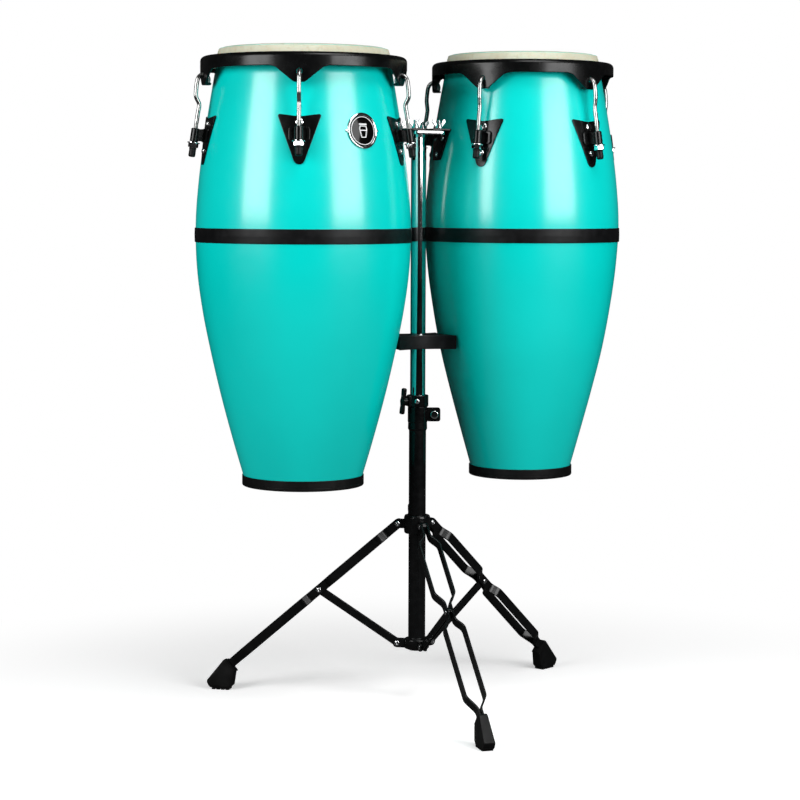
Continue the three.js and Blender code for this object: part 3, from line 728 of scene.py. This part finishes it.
def screw_head(radius, height):
    """A domed cross-head screw on the X-Y plane."""
    dome = lathe([(0, -1), (radius, -1), (radius, 0.3 * height), (0.9 * radius, 0.62 * height),
                  (0.6 * radius, 0.9 * height), (0.25 * radius, height), (0, height)], 28)
    arm, half_slot = 0.5 * radius, 0.12 * radius
    slot = plate(box_outline(-arm, arm, -half_slot, half_slot), 0.4 * height, 2 * height)
    other = facing(slot.copy(), 90)
    return less(less(dome, slot), other)


def on_shell(drum, shape, sideways, height, proud):
    """Stands a shape made on the X-Y plane on the shell, its Z axis square to the skin."""
    skin = drum.radius(height)
    slope = (drum.radius(height + 5) - drum.radius(height - 5)) / 10
    angle = math.degrees(sideways / skin)
    lean = spun(90 + math.degrees(math.atan(slope)), "Y")
    return moved(shape, spun(angle) @ Matrix.Translation((skin + proud, 0, height)) @ lean)


def plate_screws_shape(drum):
    heads = []
    for lug in drum.lugs:
        for height, radius in SIDE_PLATE_SCREWS:
            head = on_shell(drum, screw_head(radius, 3), 0, height, SIDE_PLATE["sheet"])
            heads.append(facing(head, lug))
    return together(*heads)


def threaded(path, radius, pitch, binormal, start):
    """A rod down a path, with a thread from path point start on."""
    section = disc_outline(1, 14)

    def size(k, corner):
        if k < start:
            return corner * radius
        turn = math.atan2(corner.y, corner.x)
        run = (path[k] - path[start]).length
        groove = 0.5 + 0.5 * math.cos(2 * math.pi * run / pitch - turn)
        return corner * (radius - 0.09 * pitch - 0.16 * pitch * groove * min(1, run))

    return sweep(path, section, binormal, size)


def hook_shape(drum):
    rim, hole = drum.rim, TAB_HOLE["height"]
    bent = [(rim - 8, 650), (rim - 9.3, 658), (rim - 5.5, hole - 0.4), (rim + 2.5, hole - 0.2),
            (rim + 8.5, 656.5), (rim + 11, 637), (rim + 10.5, 628), (drum.hook_x(HOOK["bend"]), HOOK["bend"]),
            (drum.hook_x(602), 602), (drum.hook_x(HOOK["thread_top"]), HOOK["thread_top"])]
    path = curve_through([Vector((x, 0, z)) for x, z in bent], 7)
    start = len(path)
    drop = HOOK["thread_top"] - HOOK["bottom"]
    for height in even(HOOK["thread_top"], HOOK["bottom"], int(4 * drop / HOOK["pitch"]))[1:]:
        path.append(Vector((drum.hook_x(height), 0, height)))
    return threaded(path, HOOK["radius"], HOOK["pitch"], Vector((0, 1, 0)), start)


def nut_shape():
    """Washer and chamfered hexagon nut, below their joint's point."""
    bore, outer, under = 3.9, NUT["washer_radius"], -NUT["washer"]
    washer = lathe(rounded([(bore, 0), (outer, 0, 0.5), (outer, under, 0.5), (bore, under)]), 40)
    top = under - 0.1
    hexagon = plate(disc_outline(NUT["across"], 6), top - NUT["hex"], top, 0.9)
    collar = rod(7, (0, 0, top), (0, 0, top - 1.2), 32)
    return together(washer, hexagon, collar)


def cap_shape():
    """The rubber cap that covers the hook's end."""
    top = -NUT["washer"] - NUT["hex"] - 0.2
    radius, end = NUT["cap_radius"], -NUT["washer"] - NUT["hex"] - NUT["cap"]
    profile = rounded([(0, top), (radius - 0.4, top, 0.4), (radius, top - 2, 0.6),
                       (radius - 0.5, top - 3, 0.6), (radius - 0.3, end, 4), (0, end)], closed=False)
    return lathe(profile, 36)


def badge_shape(drum):
    """A bright ring round a dark disc that carries a plain drum in outline, and two rivets."""
    radius, ring, height = BADGE["radius"], BADGE["ring"], BADGE["height"]
    inside = radius - ring
    bezel = lathe(rounded([(inside, 0.2), (radius, 0.2, 0.5), (radius, 2.2, 1.2), (radius - ring / 2, 3, 2),
                           (inside, 2.2, 0.8)], steps=4), 72)
    line = lathe(rounded([(inside - 3, 1.2), (inside - 1.8, 1.2), (inside - 1.8, 2, 0.3),
                          (inside - 3, 2, 0.3)], steps=2), 72)
    ground = lathe([(0, 0.2), (inside + 0.5, 0.2), (inside + 0.5, 1.5), (inside - 5, 1.5),
                    (8, 1.5), (4, 1.5), (0, 1.5)], 72)
    ears = [shifted(lathe(rounded([(0, 0.2), (2.4, 0.2), (2.4, 1.6, 1), (0, 2.6)], closed=False), 20), x)
            for x in (-radius - 1.4, radius + 1.4)]
    body = [(-4.5, -11, 1), (4.5, -11, 1), (7.6, 3, 5), (6.2, 8, 1), (-6.2, 8, 1), (-7.6, 3, 5)]
    inner = [(-3.2, -9.6), (3.2, -9.6), (6, 2.6, 4), (5, 6.6), (-5, 6.6), (-6, 2.6, 4)]
    outline = less(plate(rounded(body), 1.3, 2.1), plate(rounded(inner), 0, 4))
    top = plate(box_outline(-7.4, 7.4, 9, 11.4, 1), 1.3, 2.1, 0.2)
    belt = plate(box_outline(-6.6, 6.6, -0.2, 1.4), 1.3, 2.0)
    motif = painted(tidied(together(outline, top, belt, line)), 2)
    flat = together(bezel, motif, painted(ground, 1), *ears)
    return wrapped(shifted(tidied(flat), 0, height), drum)


def bracket_shape(drum):
    """Trapezoid back plate on the shell, and the flange and its two webs that reach the mast's plate."""
    low, high = BRACKET["bottom"], BRACKET["top"]
    near = BRACKET["shell_gap"]
    outline = rounded([(-BRACKET["half_bottom"], low, 4), (BRACKET["half_bottom"], low, 4),
                       (BRACKET["half_top"], high), (-BRACKET["half_top"], high)])
    back = wrapped(plate(outline, near, near + BRACKET["sheet"], 0.6, 10), drum)
    half, sheet = FLANGE["half_width"], FLANGE["sheet"]
    inner, outer = drum.radius(high) + near + 0.4, drum.mast_reach - FLANGE["mast_gap"]
    flange = plate(box_outline(inner, outer, -half, half, 5), high - sheet, high, 0.5)
    x = drum.mast_reach - BOLT["x"]
    ends = [((x, y, high - 9), (x, y, high + 9)) for y in (-BOLT["y"], BOLT["y"])]
    holes = [rod(BOLT["radius"] + GAP, *end) for end in ends]
    wall, under = drum.radius(high - 12) + near + 1, high - sheet
    corner = [(wall, under), (wall, high - FLANGE["web_drop"]), (inner + 11, under)]
    sides = (-FLANGE["web_y"], FLANGE["web_y"])
    webs = [shifted(upright(plate(corner, -1.2, 1.2, 0.4)), 0, y) for y in sides]
    return together(back, less(flange, together(*holes)), *webs)


def make_drum(drum):
    name, body = drum.name, "mast_and_drums"

    def put(part, shape, slot, *finishes, angle=0.0, nodes=()):
        mesh = mesh_of(f"{name}_{part}", shape, *finishes)
        return piece(f"{name}_drum_{part}", mesh, drum.place @ spun(angle), body, slot, *nodes)

    put("shell", shell_shape(drum), "lacquered_shell", LACQUER, RAW_WOOD, nodes=[f"{name}_shell"])
    put("belly_band", band_shape(drum), "black_plastic", PLASTIC)
    put("base_ring", base_ring_shape(drum), "rubber", RUBBER, nodes=[f"{name}_base_ring"])
    put("head", head_shape(drum), "hide", HIDE, nodes=[f"{name}_head"])
    put("rim", rim_shape(drum), "black_hardware", HARDWARE, nodes=[f"{name}_rim"])
    put("plate_screws", plate_screws_shape(drum), "chrome", CHROME)
    put("badge", badge_shape(drum), "chrome", CHROME, GLOSS_BLACK, WHITE_ENAMEL, angle=BADGE_ANGLES[name])
    put("bracket", bracket_shape(drum), "black_hardware", HARDWARE, angle=drum.mast_angle,
        nodes=[f"{name}_mount_bracket"])
    proud = BRACKET["shell_gap"] + BRACKET["sheet"]
    screws = together(*(on_shell(drum, screw_head(4.5, 2.6), x, z, proud) for x, z in BRACKET_SCREWS))
    put("bracket_screws", screws, "zinc", ZINC, angle=drum.mast_angle)

    plates = mesh_of(f"{name}_side_plate", side_plate_shape(drum), HARDWARE)
    hooks = mesh_of(f"{name}_hook", hook_shape(drum), STEEL)
    nuts = mesh_of(f"{name}_nut", nut_shape(), CHROME)
    caps = mesh_of(f"{name}_cap", cap_shape(), RUBBER)
    height = LUG["bottom"] - GAP
    for k, lug in enumerate(drum.lugs, 1):
        station = drum.place @ spun(lug)
        below = station @ at(drum.hook_x(height), 0, height) @ spun(-drum.hook_tilt(), "Y")
        turning = f"{name}_tuning_nut_{k}_turning"
        piece(f"{name}_lug_plate_{k}", plates, station, body, "black_hardware", f"{name}_side_plate_{k}")
        piece(f"{name}_tension_hook_{k}", hooks, station, body, "chrome", f"{name}_hook_{k}")
        piece(f"{name}_hex_nut_{k}", nuts, below, turning, "chrome", f"{name}_tuning_nut_{k}")
        piece(f"{name}_nut_cap_{k}", caps, below, turning, "rubber")


# ---- stand ----


def mast_shape():
    """The mast and its top plate, with the heights of the plate's and the bolts' tops."""
    bottom, top = heights_of("mast")
    radius, bore = MAST["radius"], MAST["radius"] - MAST["wall"]
    under = DRUMS[0].base.z / MM + BRACKET["top"] - FLANGE["sheet"] - 0.7 - MAST["plate"]
    over = under + MAST["plate"]
    tube = lathe(rounded([(bore, bottom), (radius, bottom, 0.5), (radius, under - 4),
                          (radius + 3.2, under + 0.5, 3), (bore, under + 0.5)]), sides=96)
    outline = box_outline(-MAST["half_x"], MAST["half_x"], -MAST["half_y"], MAST["half_y"], 6)
    return together(tube, plate(outline, under, over, 1.6)), over, top


def bolt_shape(bottom, top):
    path = [Vector((0, 0, z)) for z in even(bottom, top - 1, int(4 * (top - bottom)))]
    return threaded(path, BOLT["radius"], 1.0, Vector((0, 1, 0)), 0)


def wing_nut_shape():
    boss = lathe(rounded([(3.4, 0), (6.5, 0, 0.6), (6.3, 2.5, 1), (5, 8, 1), (3.4, 8)]), 40)
    outline = rounded([(3, 1.5), (5.5, 1.2, 1), (7.8, 5.5, 3), (12, 10.5, 2.2),
                       (10.6, 16, 2.6), (6.8, 14.4, 3), (4.8, 8.4, 2), (3.6, 7)])
    wing = upright(plate(outline, -1.5, 1.5, 0.9))
    other = facing(wing.copy(), 180)
    return together(boss, wing, other)


def cradle_shape():
    """Spacer hollowed to both shells, its front and back curved in between four horns."""
    bottom, top = heights_of("cradle")
    height = (bottom + top) / 2 - DRUMS[0].base.z / MM
    horn_x, horn_y, waist = CRADLE["horn_x"], CRADLE["horn_y"], CRADLE["waist_y"]

    def edge(x):
        t = (x + horn_x) / (2 * horn_x)
        return horn_y - 4 * (horn_y - waist) * t * (1 - t)

    def hollow(drum, y):
        side = 1 if drum.mast_angle > 90 or drum.mast_angle < -90 else -1
        return side * (drum.mast_reach - math.sqrt((drum.radius(height) + CRADLE["reach"]) ** 2 - y * y))

    ends = []
    for drum in DRUMS:
        y = horn_y
        for _ in range(30):
            y = 0.5 * (y + edge(hollow(drum, y)))
        ends.append(y)
    left, right = (hollow(drum, y) for drum, y in zip(DRUMS, ends))
    front = [(x, -edge(x)) for x in even(left, right, 16)]
    right_arc = [(hollow(DRUMS[1], y), y) for y in even(-ends[1], ends[1], 16)[1:-1]]
    left_arc = [(hollow(DRUMS[0], y), y) for y in even(ends[0], -ends[0], 16)[1:-1]]
    back = [(x, -y) for x, y in reversed(front)]
    block = plate([*front, *right_arc, *back, *left_arc], bottom, top, 1.5)
    return less(block, rod(MAST["radius"] + GAP, (0, 0, bottom - 9), (0, 0, top + 9), 64))


def ear_outline(inner, r, z, radius):
    low, high, tip = z - radius, z + radius, r + radius
    return rounded([(inner, low), (tip, low, radius), (tip, high, radius), (inner, high)], steps=8)


def base_tube_shape(pivot, angles):
    bottom, top = heights_of("base_tube")
    radius, bore = BASE_TUBE["radius"], BASE_TUBE["bore"]
    hub, clamp = HUB, CLAMP
    tube = lathe(rounded([
        (bore, bottom), (radius, bottom, 0.8), (radius, hub["bottom"]), (hub["radius"], hub["bottom"], 3),
        (hub["radius"], hub["top"], 3), (radius + 0.5, hub["top"] + 1, 1), (radius, hub["top"] + 3),
        (radius, clamp["sleeve_bottom"], 2), (clamp["sleeve"] + 0.3, clamp["sleeve_bottom"] + 3, 2),
        (clamp["sleeve"], clamp["bottom"] - 1, 1), (clamp["radius"], clamp["bottom"], 0.8),
        (clamp["radius"], top, 1), (bore, top, 0.5),
    ], steps=4), 80)
    half = clamp["half"]
    low, high = clamp["bottom"] + 0.5, top - 2
    lug = upright(plate(box_outline(clamp["radius"] - 2, clamp["reach"], low, high, 4), -half, half, 1.2))
    slit = upright(plate(box_outline(11, clamp["reach"] + 2, low + 3.5, top + 2), -1, 1))
    cheeks = [facing(cheek, angle) for angle in angles for cheek in clevis(pivot)]
    head = facing(less(lug, slit), clamp["angle"])
    return together(tube, head, *cheeks)


def clevis(pivot):
    outline = ear_outline(HUB["radius"] - 4, *pivot, EAR["cheek_radius"])
    cheek = upright(plate(outline, EAR["cheek_inner"], EAR["cheek_outer"], 0.6))
    return cheek, flipped(cheek)


def rivet_head(x, y, z):
    """A rivet's dome standing out along +Y or -Y from a point."""
    radius, head = RIVET["radius"], RIVET["head"]
    dome = lathe([(0, -1), (radius, -1), (radius, 0.25 * head), (0.8 * radius, 0.75 * head),
                  (0.4 * radius, head), (0.22 * radius, 0.8 * head), (0, 0.75 * head)], 28)
    return shifted(moved(dome, spun(-90 if y > 0 else 90, "X")), x, y, z)


def clamp_bolt_shape():
    """Socket bolt across the clamp lug, with its nut on the far side."""
    middle = (CLAMP["bottom"] + heights_of("base_tube")[1]) / 2 - 0.5
    head = less(lathe(rounded([(0, -1), (6.8, -1), (6.8, 4.2, 1.6), (0, 4.2)], closed=False), 36),
                plate(disc_outline(3.4, 6), 1.2, 9))
    nut = plate(disc_outline(7.4, 6), 0, 5, 0.8)
    x, half = CLAMP["bolt_x"], CLAMP["half"]
    near = shifted(moved(head, spun(90, "X")), x, -half, middle)
    far = shifted(moved(nut, spun(-90, "X")), x, half, middle)
    return facing(together(near, far), CLAMP["angle"])


def memory_collar_shape(angle):
    bottom, top = heights_of("memory_collar")
    bore, radius = MEMORY["bore"], MEMORY["radius"]
    ring = lathe(rounded([(bore, bottom), (radius, bottom, 1.2), (radius, top, 1.2), (bore, top, 0.5)]), 72)
    ear = upright(plate(box_outline(15, MEMORY["ear"], bottom + 1, top - 1, 2), -8, 8, 1.2))
    return together(ring, facing(ear, angle))


def collar_shape(pivot, angles, screw_angle, screw_z):
    bottom, top = heights_of("leg_collar")
    radius, bore = LEG_COLLAR["radius"], LEG_COLLAR["bore"]
    ring = lathe(rounded([(bore, bottom), (radius - 1, bottom, 2), (radius, bottom + 4, 2),
                          (radius, top - 4, 2), (radius - 1.5, top, 2), (bore, top, 0.6)]), 80)
    ears = []
    for angle in angles:
        ear = upright(plate(ear_outline(radius - 3, *pivot, EAR["radius"]), -EAR["half"], EAR["half"], 0.8))
        ears.append(facing(ear, angle))
    boss = rod(LEG_COLLAR["boss_radius"], (radius - 4, 0, screw_z), (LEG_COLLAR["boss"], 0, screw_z), 36, 1.2)
    return together(ring, *ears, facing(boss, screw_angle))


def t_handle_shape(tip, hub):
    """A screw along +X with a rounded cross bar."""
    half, bar_x = SCREW["bar_half"], hub + SCREW["hub"]
    path = [Vector((x, 0, 0)) for x in even(tip, hub + 1, int(4 * (hub + 1 - tip)))]
    shaft = threaded(path, SCREW["shaft"], 1.25, Vector((0, 1, 0)), 0)
    grip = rod(SCREW["hub_radius"], (hub, 0, 0), (bar_x + 3, 0, 0), 32, 1.5)
    end, waist = SCREW["bar_radius"], SCREW["bar_radius"] - 0.5
    profile = rounded([(0, -half), (end, -half, 3.6), (end, -half + 9, 6), (waist, -8, 8), (end + 0.6, 0, 12),
                       (waist, 8, 8), (end, half - 9, 6), (end, half, 3.6), (0, half)], closed=False)
    return together(shaft, grip, shifted(lathe(profile, 32), bar_x))


# ---- tripod ----


class Leg:
    """One leg's upright plane and its linkage, from the joints and the CAD strut."""

    def __init__(self, name):
        self.name = name
        hinge, brace = joint(f"{name}_leg_hinge"), joint(f"{name}_brace_hinge")
        tangent = Vector(hinge["axis"])
        self.out = tangent.cross(Vector((0, 0, 1)))
        self.angle = bearing(self.out.x, self.out.y)
        self.place = STAND @ spun(self.angle)
        self.a = self.in_plane(hinge["pos_m"])
        self.b = self.in_plane(brace["pos_m"])
        ends = [self.in_plane(v.co) for v in frame["nodes"][f"{name}_strut"].data.vertices]
        far = max(x for x, _ in ends) - STRUT["end"]
        high = max(z for _, z in ends) - STRUT["end"]
        self.c = Vector((far, high))
        tips = [self.in_plane(v.co) - self.a for v in frame["nodes"][f"{name}_leg"].data.vertices]
        along = (self.c - self.a).normalized()
        self.length = max(tip.dot(along) for tip in tips)
        self.to_strut = (self.c - self.a).length
        self.strut_length = (self.c - self.b).length

    def in_plane(self, point):
        """A point's distance out from the mast and its height, in millimetres."""
        off = Vector(point) - STAND.translation
        return Vector((off.dot(self.out), off.z)) / MM

    def along(self, start, end):
        """A place with X from one pivot to another."""
        run = end - start
        return self.place @ at(start.x, 0, start.y) @ spun(-bearing(*run), "Y")


def bar_shape(leg):
    """Two mirrored flat bars, close at the pivots and spread between them."""
    halves, length, half = BAR_HALVES, leg.length, BAR["depth"] / 2
    out1, wide1, in1, close1 = UPPER_BENDS
    out2, wide2, in2, close2 = LOWER_BENDS
    bend = 16
    corners = [(-half, halves["collar"]), (out1, halves["collar"], bend), (wide1, halves["upper"], bend),
               (in1, halves["upper"], bend), (close1, halves["strut"], bend), (out2, halves["strut"], bend),
               (wide2, halves["lower"], bend), (in2, halves["lower"], bend), (close2, halves["boot"], bend),
               (length, halves["boot"])]
    line = rounded(corners, closed=False, steps=6)
    nose = [-share * half for share in (1, 0.92, 0.75, 0.5)]
    start = [Vector((x, halves["collar"])) for x in (*nose, 0, out1 / 2)]
    path = [Vector((x, y, 0)) for x, y in [*start, *line[1:]]]
    section = box_outline(-BAR["sheet"] / 2, BAR["sheet"] / 2, -half, half, 0.9)

    def size(k, corner):
        x = path[k].x
        share = math.sqrt(max(1 - (x / half) ** 2, 0.02)) if x < 0 else 1
        return Vector((corner.x, corner.y * share))

    bar = sweep(path, section, Vector((0, 0, 1)), size)
    return together(bar, flipped(bar))


def leg_rivets_shape(leg):
    heads = []
    for x, half in ((0, BAR_HALVES["collar"]), (leg.to_strut, BAR_HALVES["strut"])):
        out = half + BAR["sheet"] / 2
        heads += [rivet_head(x, out, 0), rivet_head(x, -out, 0)]
    return together(*heads)


def strut_shape(leg):
    """A narrow channel, open below, with round ends."""
    half, deep, wall, length = STRUT["half"], STRUT["end"], STRUT["wall"], leg.strut_length
    inner, roof = half - wall, deep - wall
    section = rounded([
        (-half, -deep, 0.4), (-half, deep, 1), (half, deep, 1), (half, -deep, 0.4),
        (inner, -deep, 0.4), (inner, roof, 0.4), (-inner, roof, 0.4), (-inner, -deep, 0.4),
    ], steps=3)
    ends = [deep * k for k in (-1, -0.92, -0.75, -0.5, -0.2, 0)]
    path = [Vector((x, 0, 0)) for x in [*ends, length / 2, *(length - x for x in reversed(ends))]]

    def size(k, corner):
        past = max(-path[k].x, path[k].x - length, 0)
        share = math.sqrt(max(1 - (past / deep) ** 2, 0.02))
        return Vector((corner.x, corner.y * share))

    return sweep(path, section, Vector((0, 0, 1)), size)


def boot_shape(leg):
    """A rubber boot, narrower at its top, on a ribbed sole."""
    heel, toe, back, front = BOOT["heel"], BOOT["toe"], BOOT["back"], BOOT["front"]
    height, half, half_top = BOOT["height"], BOOT["half"], BOOT["half_top"]
    outline = rounded([(heel, 3, 2), (toe + 3, 3, 1.5), (toe + 6, 6, 1.5), (front, 14, 5),
                       (front - 30, height, 2.5), (front - 34, height + 0.5, 2), (back, height - 21, 4),
                       (back + 3.5, 8, 4)])
    body = upright(plate(outline, -half, half, 2.6))
    bmesh.ops.triangulate(body, faces=[f for f in body.faces if len(f.verts) > 4])
    for vertex in body.verts:
        share = min(max((vertex.co.z - 14) / (height - 14), 0), 1)
        vertex.co.y *= 1 + (half_top / half - 1) * share
    rib, rib_step, rib_half = 6.4, 8.2, half - 0.6
    ribs = [box_outline(x, x + rib, 0, 4.5, 0.8) for x in (heel + rib_step * k for k in range(4))]
    soles = [upright(plate(outline, -rib_half, rib_half, 0.6)) for outline in ribs]
    run = leg.c - leg.a
    lip = upright(plate(box_outline(-2.5, 3, -13, 13, 1.2), -half_top - 0.3, half_top + 0.3, 1.2))
    mouth = Vector((front - 42.5, height - 10.5))
    lip = shifted(moved(lip, spun(-bearing(*run), "Y")), mouth.x, 0, mouth.y)
    return together(body, *soles, lip)


def make_leg(leg):
    name, body = leg.name, f"{leg.name}_leg_assembly"
    to_strut = leg.along(leg.a, leg.c)
    bars = mesh_of("bars", bar_shape(leg), ENAMEL)
    piece(f"{name}_leg_bars", bars, to_strut, body, "black_enamel", f"{name}_leg")
    rivets = mesh_of("leg_rivets", leg_rivets_shape(leg), ZINC)
    piece(f"{name}_leg_rivets", rivets, to_strut, body, "zinc")
    boot = mesh_of("boot", boot_shape(leg), RUBBER)
    piece(f"{name}_boot", boot, leg.place, body, "rubber", f"{name}_foot")
    strut = mesh_of("strut", strut_shape(leg), ENAMEL)
    place = leg.along(leg.b, leg.c)
    piece(f"{name}_brace_channel", strut, place, f"{name}_brace", "black_enamel", f"{name}_strut")


def make_screw(name, node, body, joint_name, bore, boss, lean=0.0):
    """A collar's T-handled screw, on its joint's axis."""
    turn = joint(joint_name)
    axis, height = Vector(turn["axis"]), turn["pos_m"][2] / MM
    angle = bearing(axis.x, axis.y)
    shape = t_handle_shape(bore + SCREW["backed_off"], boss + GAP)
    place = STAND @ at(0, 0, height) @ spun(angle) @ spun(lean, "X")
    piece(name, mesh_of(name, shape, ENAMEL), place, body, "black_enamel", node)
    return angle, height


def make_stand(legs):
    def put(name, shape, body, slot, finish, *nodes):
        piece(name, mesh_of(name, shape, finish), STAND, body, slot, *nodes)

    drums, base = "mast_and_drums", "stand_base"
    mast, plate_top, bolt_top = mast_shape()
    put("mast_tube", mast, drums, "chrome", CHROME, "mast")
    corners = [(sx * BOLT["x"], sy * BOLT["y"]) for sx in (-1, 1) for sy in (-1, 1)]
    bolts = [shifted(bolt_shape(plate_top - 1, bolt_top), x, y) for x, y in corners]
    put("plate_bolts", together(*bolts), drums, "zinc", ZINC)
    put("cradle_block", cradle_shape(), drums, "black_plastic", PLASTIC, "cradle")

    angles, pivot = [leg.angle for leg in legs], legs[0].b
    put("base_tube_and_hub", base_tube_shape(pivot, angles), base, "black_enamel", ENAMEL, "base_tube")
    sides = (-EAR["cheek_outer"], EAR["cheek_outer"])
    heads = [facing(rivet_head(pivot.x, side, pivot.y), angle) for angle in angles for side in sides]
    put("hub_rivets", together(*heads), base, "zinc", ZINC)
    put("clamp_bolt", clamp_bolt_shape(), base, "chrome", CHROME)

    angle, height = make_screw("memory_t_handle", "memory_screw", "memory_handle", "memory_handle_turn",
                               MEMORY["bore"], MEMORY["ear"], lean=-10)
    lock = memory_collar_shape(angle)
    put("memory_lock", lock, "memory_clamp", "black_enamel", ENAMEL, "memory_collar")
    small = shifted(moved(screw_head(4.4, 2.4), spun(90, "Y")), MEMORY["radius"] - 0.4, 0, height)
    put("memory_lock_screw", facing(small, angle + 55), "memory_clamp", "chrome", CHROME)

    angle, height = make_screw("collar_t_handle", "leg_collar_screw", "collar_handle", "collar_handle_turn",
                               LEG_COLLAR["bore"], LEG_COLLAR["boss"])
    collar = collar_shape(legs[0].a, angles, angle, height)
    put("leg_slider", collar, "fold_collar", "black_enamel", ENAMEL, "leg_collar")

    nut = mesh_of("wing_nut", wing_nut_shape(), ZINC)
    names = ("large_front", "large_back", "small_front", "small_back")
    for name, (x, y) in zip(names, corners):
        place = STAND @ at(x, y, heights_of(f"{name}_wing_nut")[0])
        piece(f"{name}_plate_wing_nut", nut, place, f"{name}_wing_nut_turning", "zinc", f"{name}_wing_nut")


# ---- studio ----

LENS = 97.9
SHIFT_UP = -0.134
CAMERA_FROM_MAST = (-1.404, -3.3404, 0.8421)
CAMERA_TURN = -22.32
CAMERA_DIP = 2.5
CAMERA_ROLL = 0.226
ROOM_LIGHT = 0.025
WHITE = (1, 1, 1, 1)
FLOOR = {"half": 30, "albedo": 0.9, "glow": 0.4, "fade_from": 0.35, "fade_to": 1.1, "bounce": 0.1}
SOFTBOXES = {
    "left_softbox": {"turn": -72, "distance": 2.4, "low": 0.9, "high": 2.1, "width": 1.2, "power": 35},
    "right_softbox": {"turn": 24, "distance": 2.5, "low": 0.9, "high": 2.1, "width": 1.6, "power": 45},
}
FILLS = {
    "left_fill": {"turn": -76, "distance": 2.6, "low": 0.2, "high": 1.8, "width": 2.2, "power": 20},
    "right_fill": {"turn": 28, "distance": 2.6, "low": 0.2, "high": 1.8, "width": 2.2, "power": 18},
}
TOP_LIGHT = {"place": (0.2, -1.3, 2.6), "size": 1.4, "power": 26}


def make_camera():
    data = bpy.data.cameras.new("camera")
    data.lens = LENS
    data.sensor_width = 36
    data.shift_y = SHIFT_UP
    data.clip_end = 50
    camera = bpy.data.objects.new("camera", data)
    bpy.context.collection.objects.link(camera)
    place = Matrix.Translation(STAND.translation + Vector(CAMERA_FROM_MAST))
    camera.matrix_world = place @ spun(CAMERA_TURN) @ spun(90 - CAMERA_DIP, "X") @ spun(CAMERA_ROLL)
    bpy.context.scene.camera = camera


def area_light(name, shape, size, power, place):
    data = bpy.data.lights.new(name, "AREA")
    data.shape = shape
    data.size = size
    data.energy = power
    panel = bpy.data.objects.new(name, data)
    bpy.context.collection.objects.link(panel)
    panel.matrix_world = STAND @ place
    return panel


def softbox(name, turn, distance, low, high, width, power):
    """A tall soft panel at a turn round the mast from the front, facing it."""
    place = spun(turn) @ Matrix.Translation((0, -distance, (low + high) / 2)) @ spun(90, "X")
    panel = area_light(name, "RECTANGLE", width, power, place)
    panel.data.size_y = high - low
    return panel


def mixed(nodes, links, *sources):
    """The mix of two shaders, from its factor and the two."""
    mix = nodes.new("ShaderNodeMixShader")
    for k, source in enumerate(sources):
        links.new(source, mix.inputs[k])
    return mix.outputs["Shader"]


def make_floor():
    """A plain pale sweep, pure white a little way from the stand, and dim to everything but the camera."""
    shape = bmesh.new()
    bmesh.ops.create_grid(shape, x_segments=1, y_segments=1, size=FLOOR["half"])
    mesh = bpy.data.meshes.new("floor")
    shape.to_mesh(mesh)
    shape.free()
    floor = bpy.data.objects.new("floor", mesh)
    bpy.context.collection.objects.link(floor)
    material = bpy.data.materials.new("pale_floor")
    material.use_nodes = True
    nodes, links = material.node_tree.nodes, material.node_tree.links
    shader = nodes["Principled BSDF"]
    looks = {"Base Color": (*[FLOOR["albedo"]] * 3, 1), "Roughness": 0.9, "Specular IOR Level": 0,
             "Emission Color": WHITE, "Emission Strength": FLOOR["glow"]}
    for socket, value in looks.items():
        shader.inputs[socket].default_value = value
    glow = nodes.new("ShaderNodeEmission")
    glow.inputs["Strength"].default_value = 1.0
    spot = nodes.new("ShaderNodeVectorMath")
    spot.operation = "LENGTH"
    links.new(nodes.new("ShaderNodeTexCoord").outputs["Object"], spot.inputs[0])
    fade = nodes.new("ShaderNodeMapRange")
    fade.interpolation_type = "SMOOTHSTEP"
    for socket, value in (("From Min", FLOOR["fade_from"]), ("From Max", FLOOR["fade_to"])):
        fade.inputs[socket].default_value = value
    links.new(spot.outputs["Value"], fade.inputs["Value"])
    seen = mixed(nodes, links, fade.outputs["Result"], shader.outputs["BSDF"],
                  glow.outputs["Emission"])
    dim = nodes.new("ShaderNodeBsdfDiffuse")
    dim.inputs["Color"].default_value = (*[FLOOR["bounce"]] * 3, 1)
    sight = nodes.new("ShaderNodeLightPath").outputs["Is Camera Ray"]
    whole = mixed(nodes, links, sight, dim.outputs["BSDF"], seen)
    links.new(whole, nodes["Material Output"].inputs["Surface"])
    mesh.materials.append(material)


def make_world():
    """White behind the object, and a dim room for everything that isn't looked at directly."""
    world = bpy.data.worlds.new("studio")
    bpy.context.scene.world = world
    world.use_nodes = True
    nodes, links = world.node_tree.nodes, world.node_tree.links
    room, backdrop = nodes["Background"], nodes.new("ShaderNodeBackground")
    room.inputs["Color"].default_value = WHITE
    room.inputs["Strength"].default_value = ROOM_LIGHT
    backdrop.inputs["Color"].default_value = WHITE
    sight = nodes.new("ShaderNodeLightPath").outputs["Is Camera Ray"]
    sky = mixed(nodes, links, sight, room.outputs["Background"],
                 backdrop.outputs["Background"])
    links.new(sky, nodes["World Output"].inputs["Surface"])


for drum in DRUMS:
    make_drum(drum)
legs = [Leg(name) for name in ("front", "left", "right")]
for leg in legs:
    make_leg(leg)
make_stand(legs)
make_camera()
for name, panel in SOFTBOXES.items():
    softbox(name, **panel)
for name, panel in FILLS.items():
    softbox(name, **panel).visible_glossy = False
area_light("top_light", "DISK", TOP_LIGHT["size"], TOP_LIGHT["power"], Matrix.Translation(TOP_LIGHT["place"]))
make_floor()
make_world()
bpy.context.scene.view_settings.view_transform = "Standard"
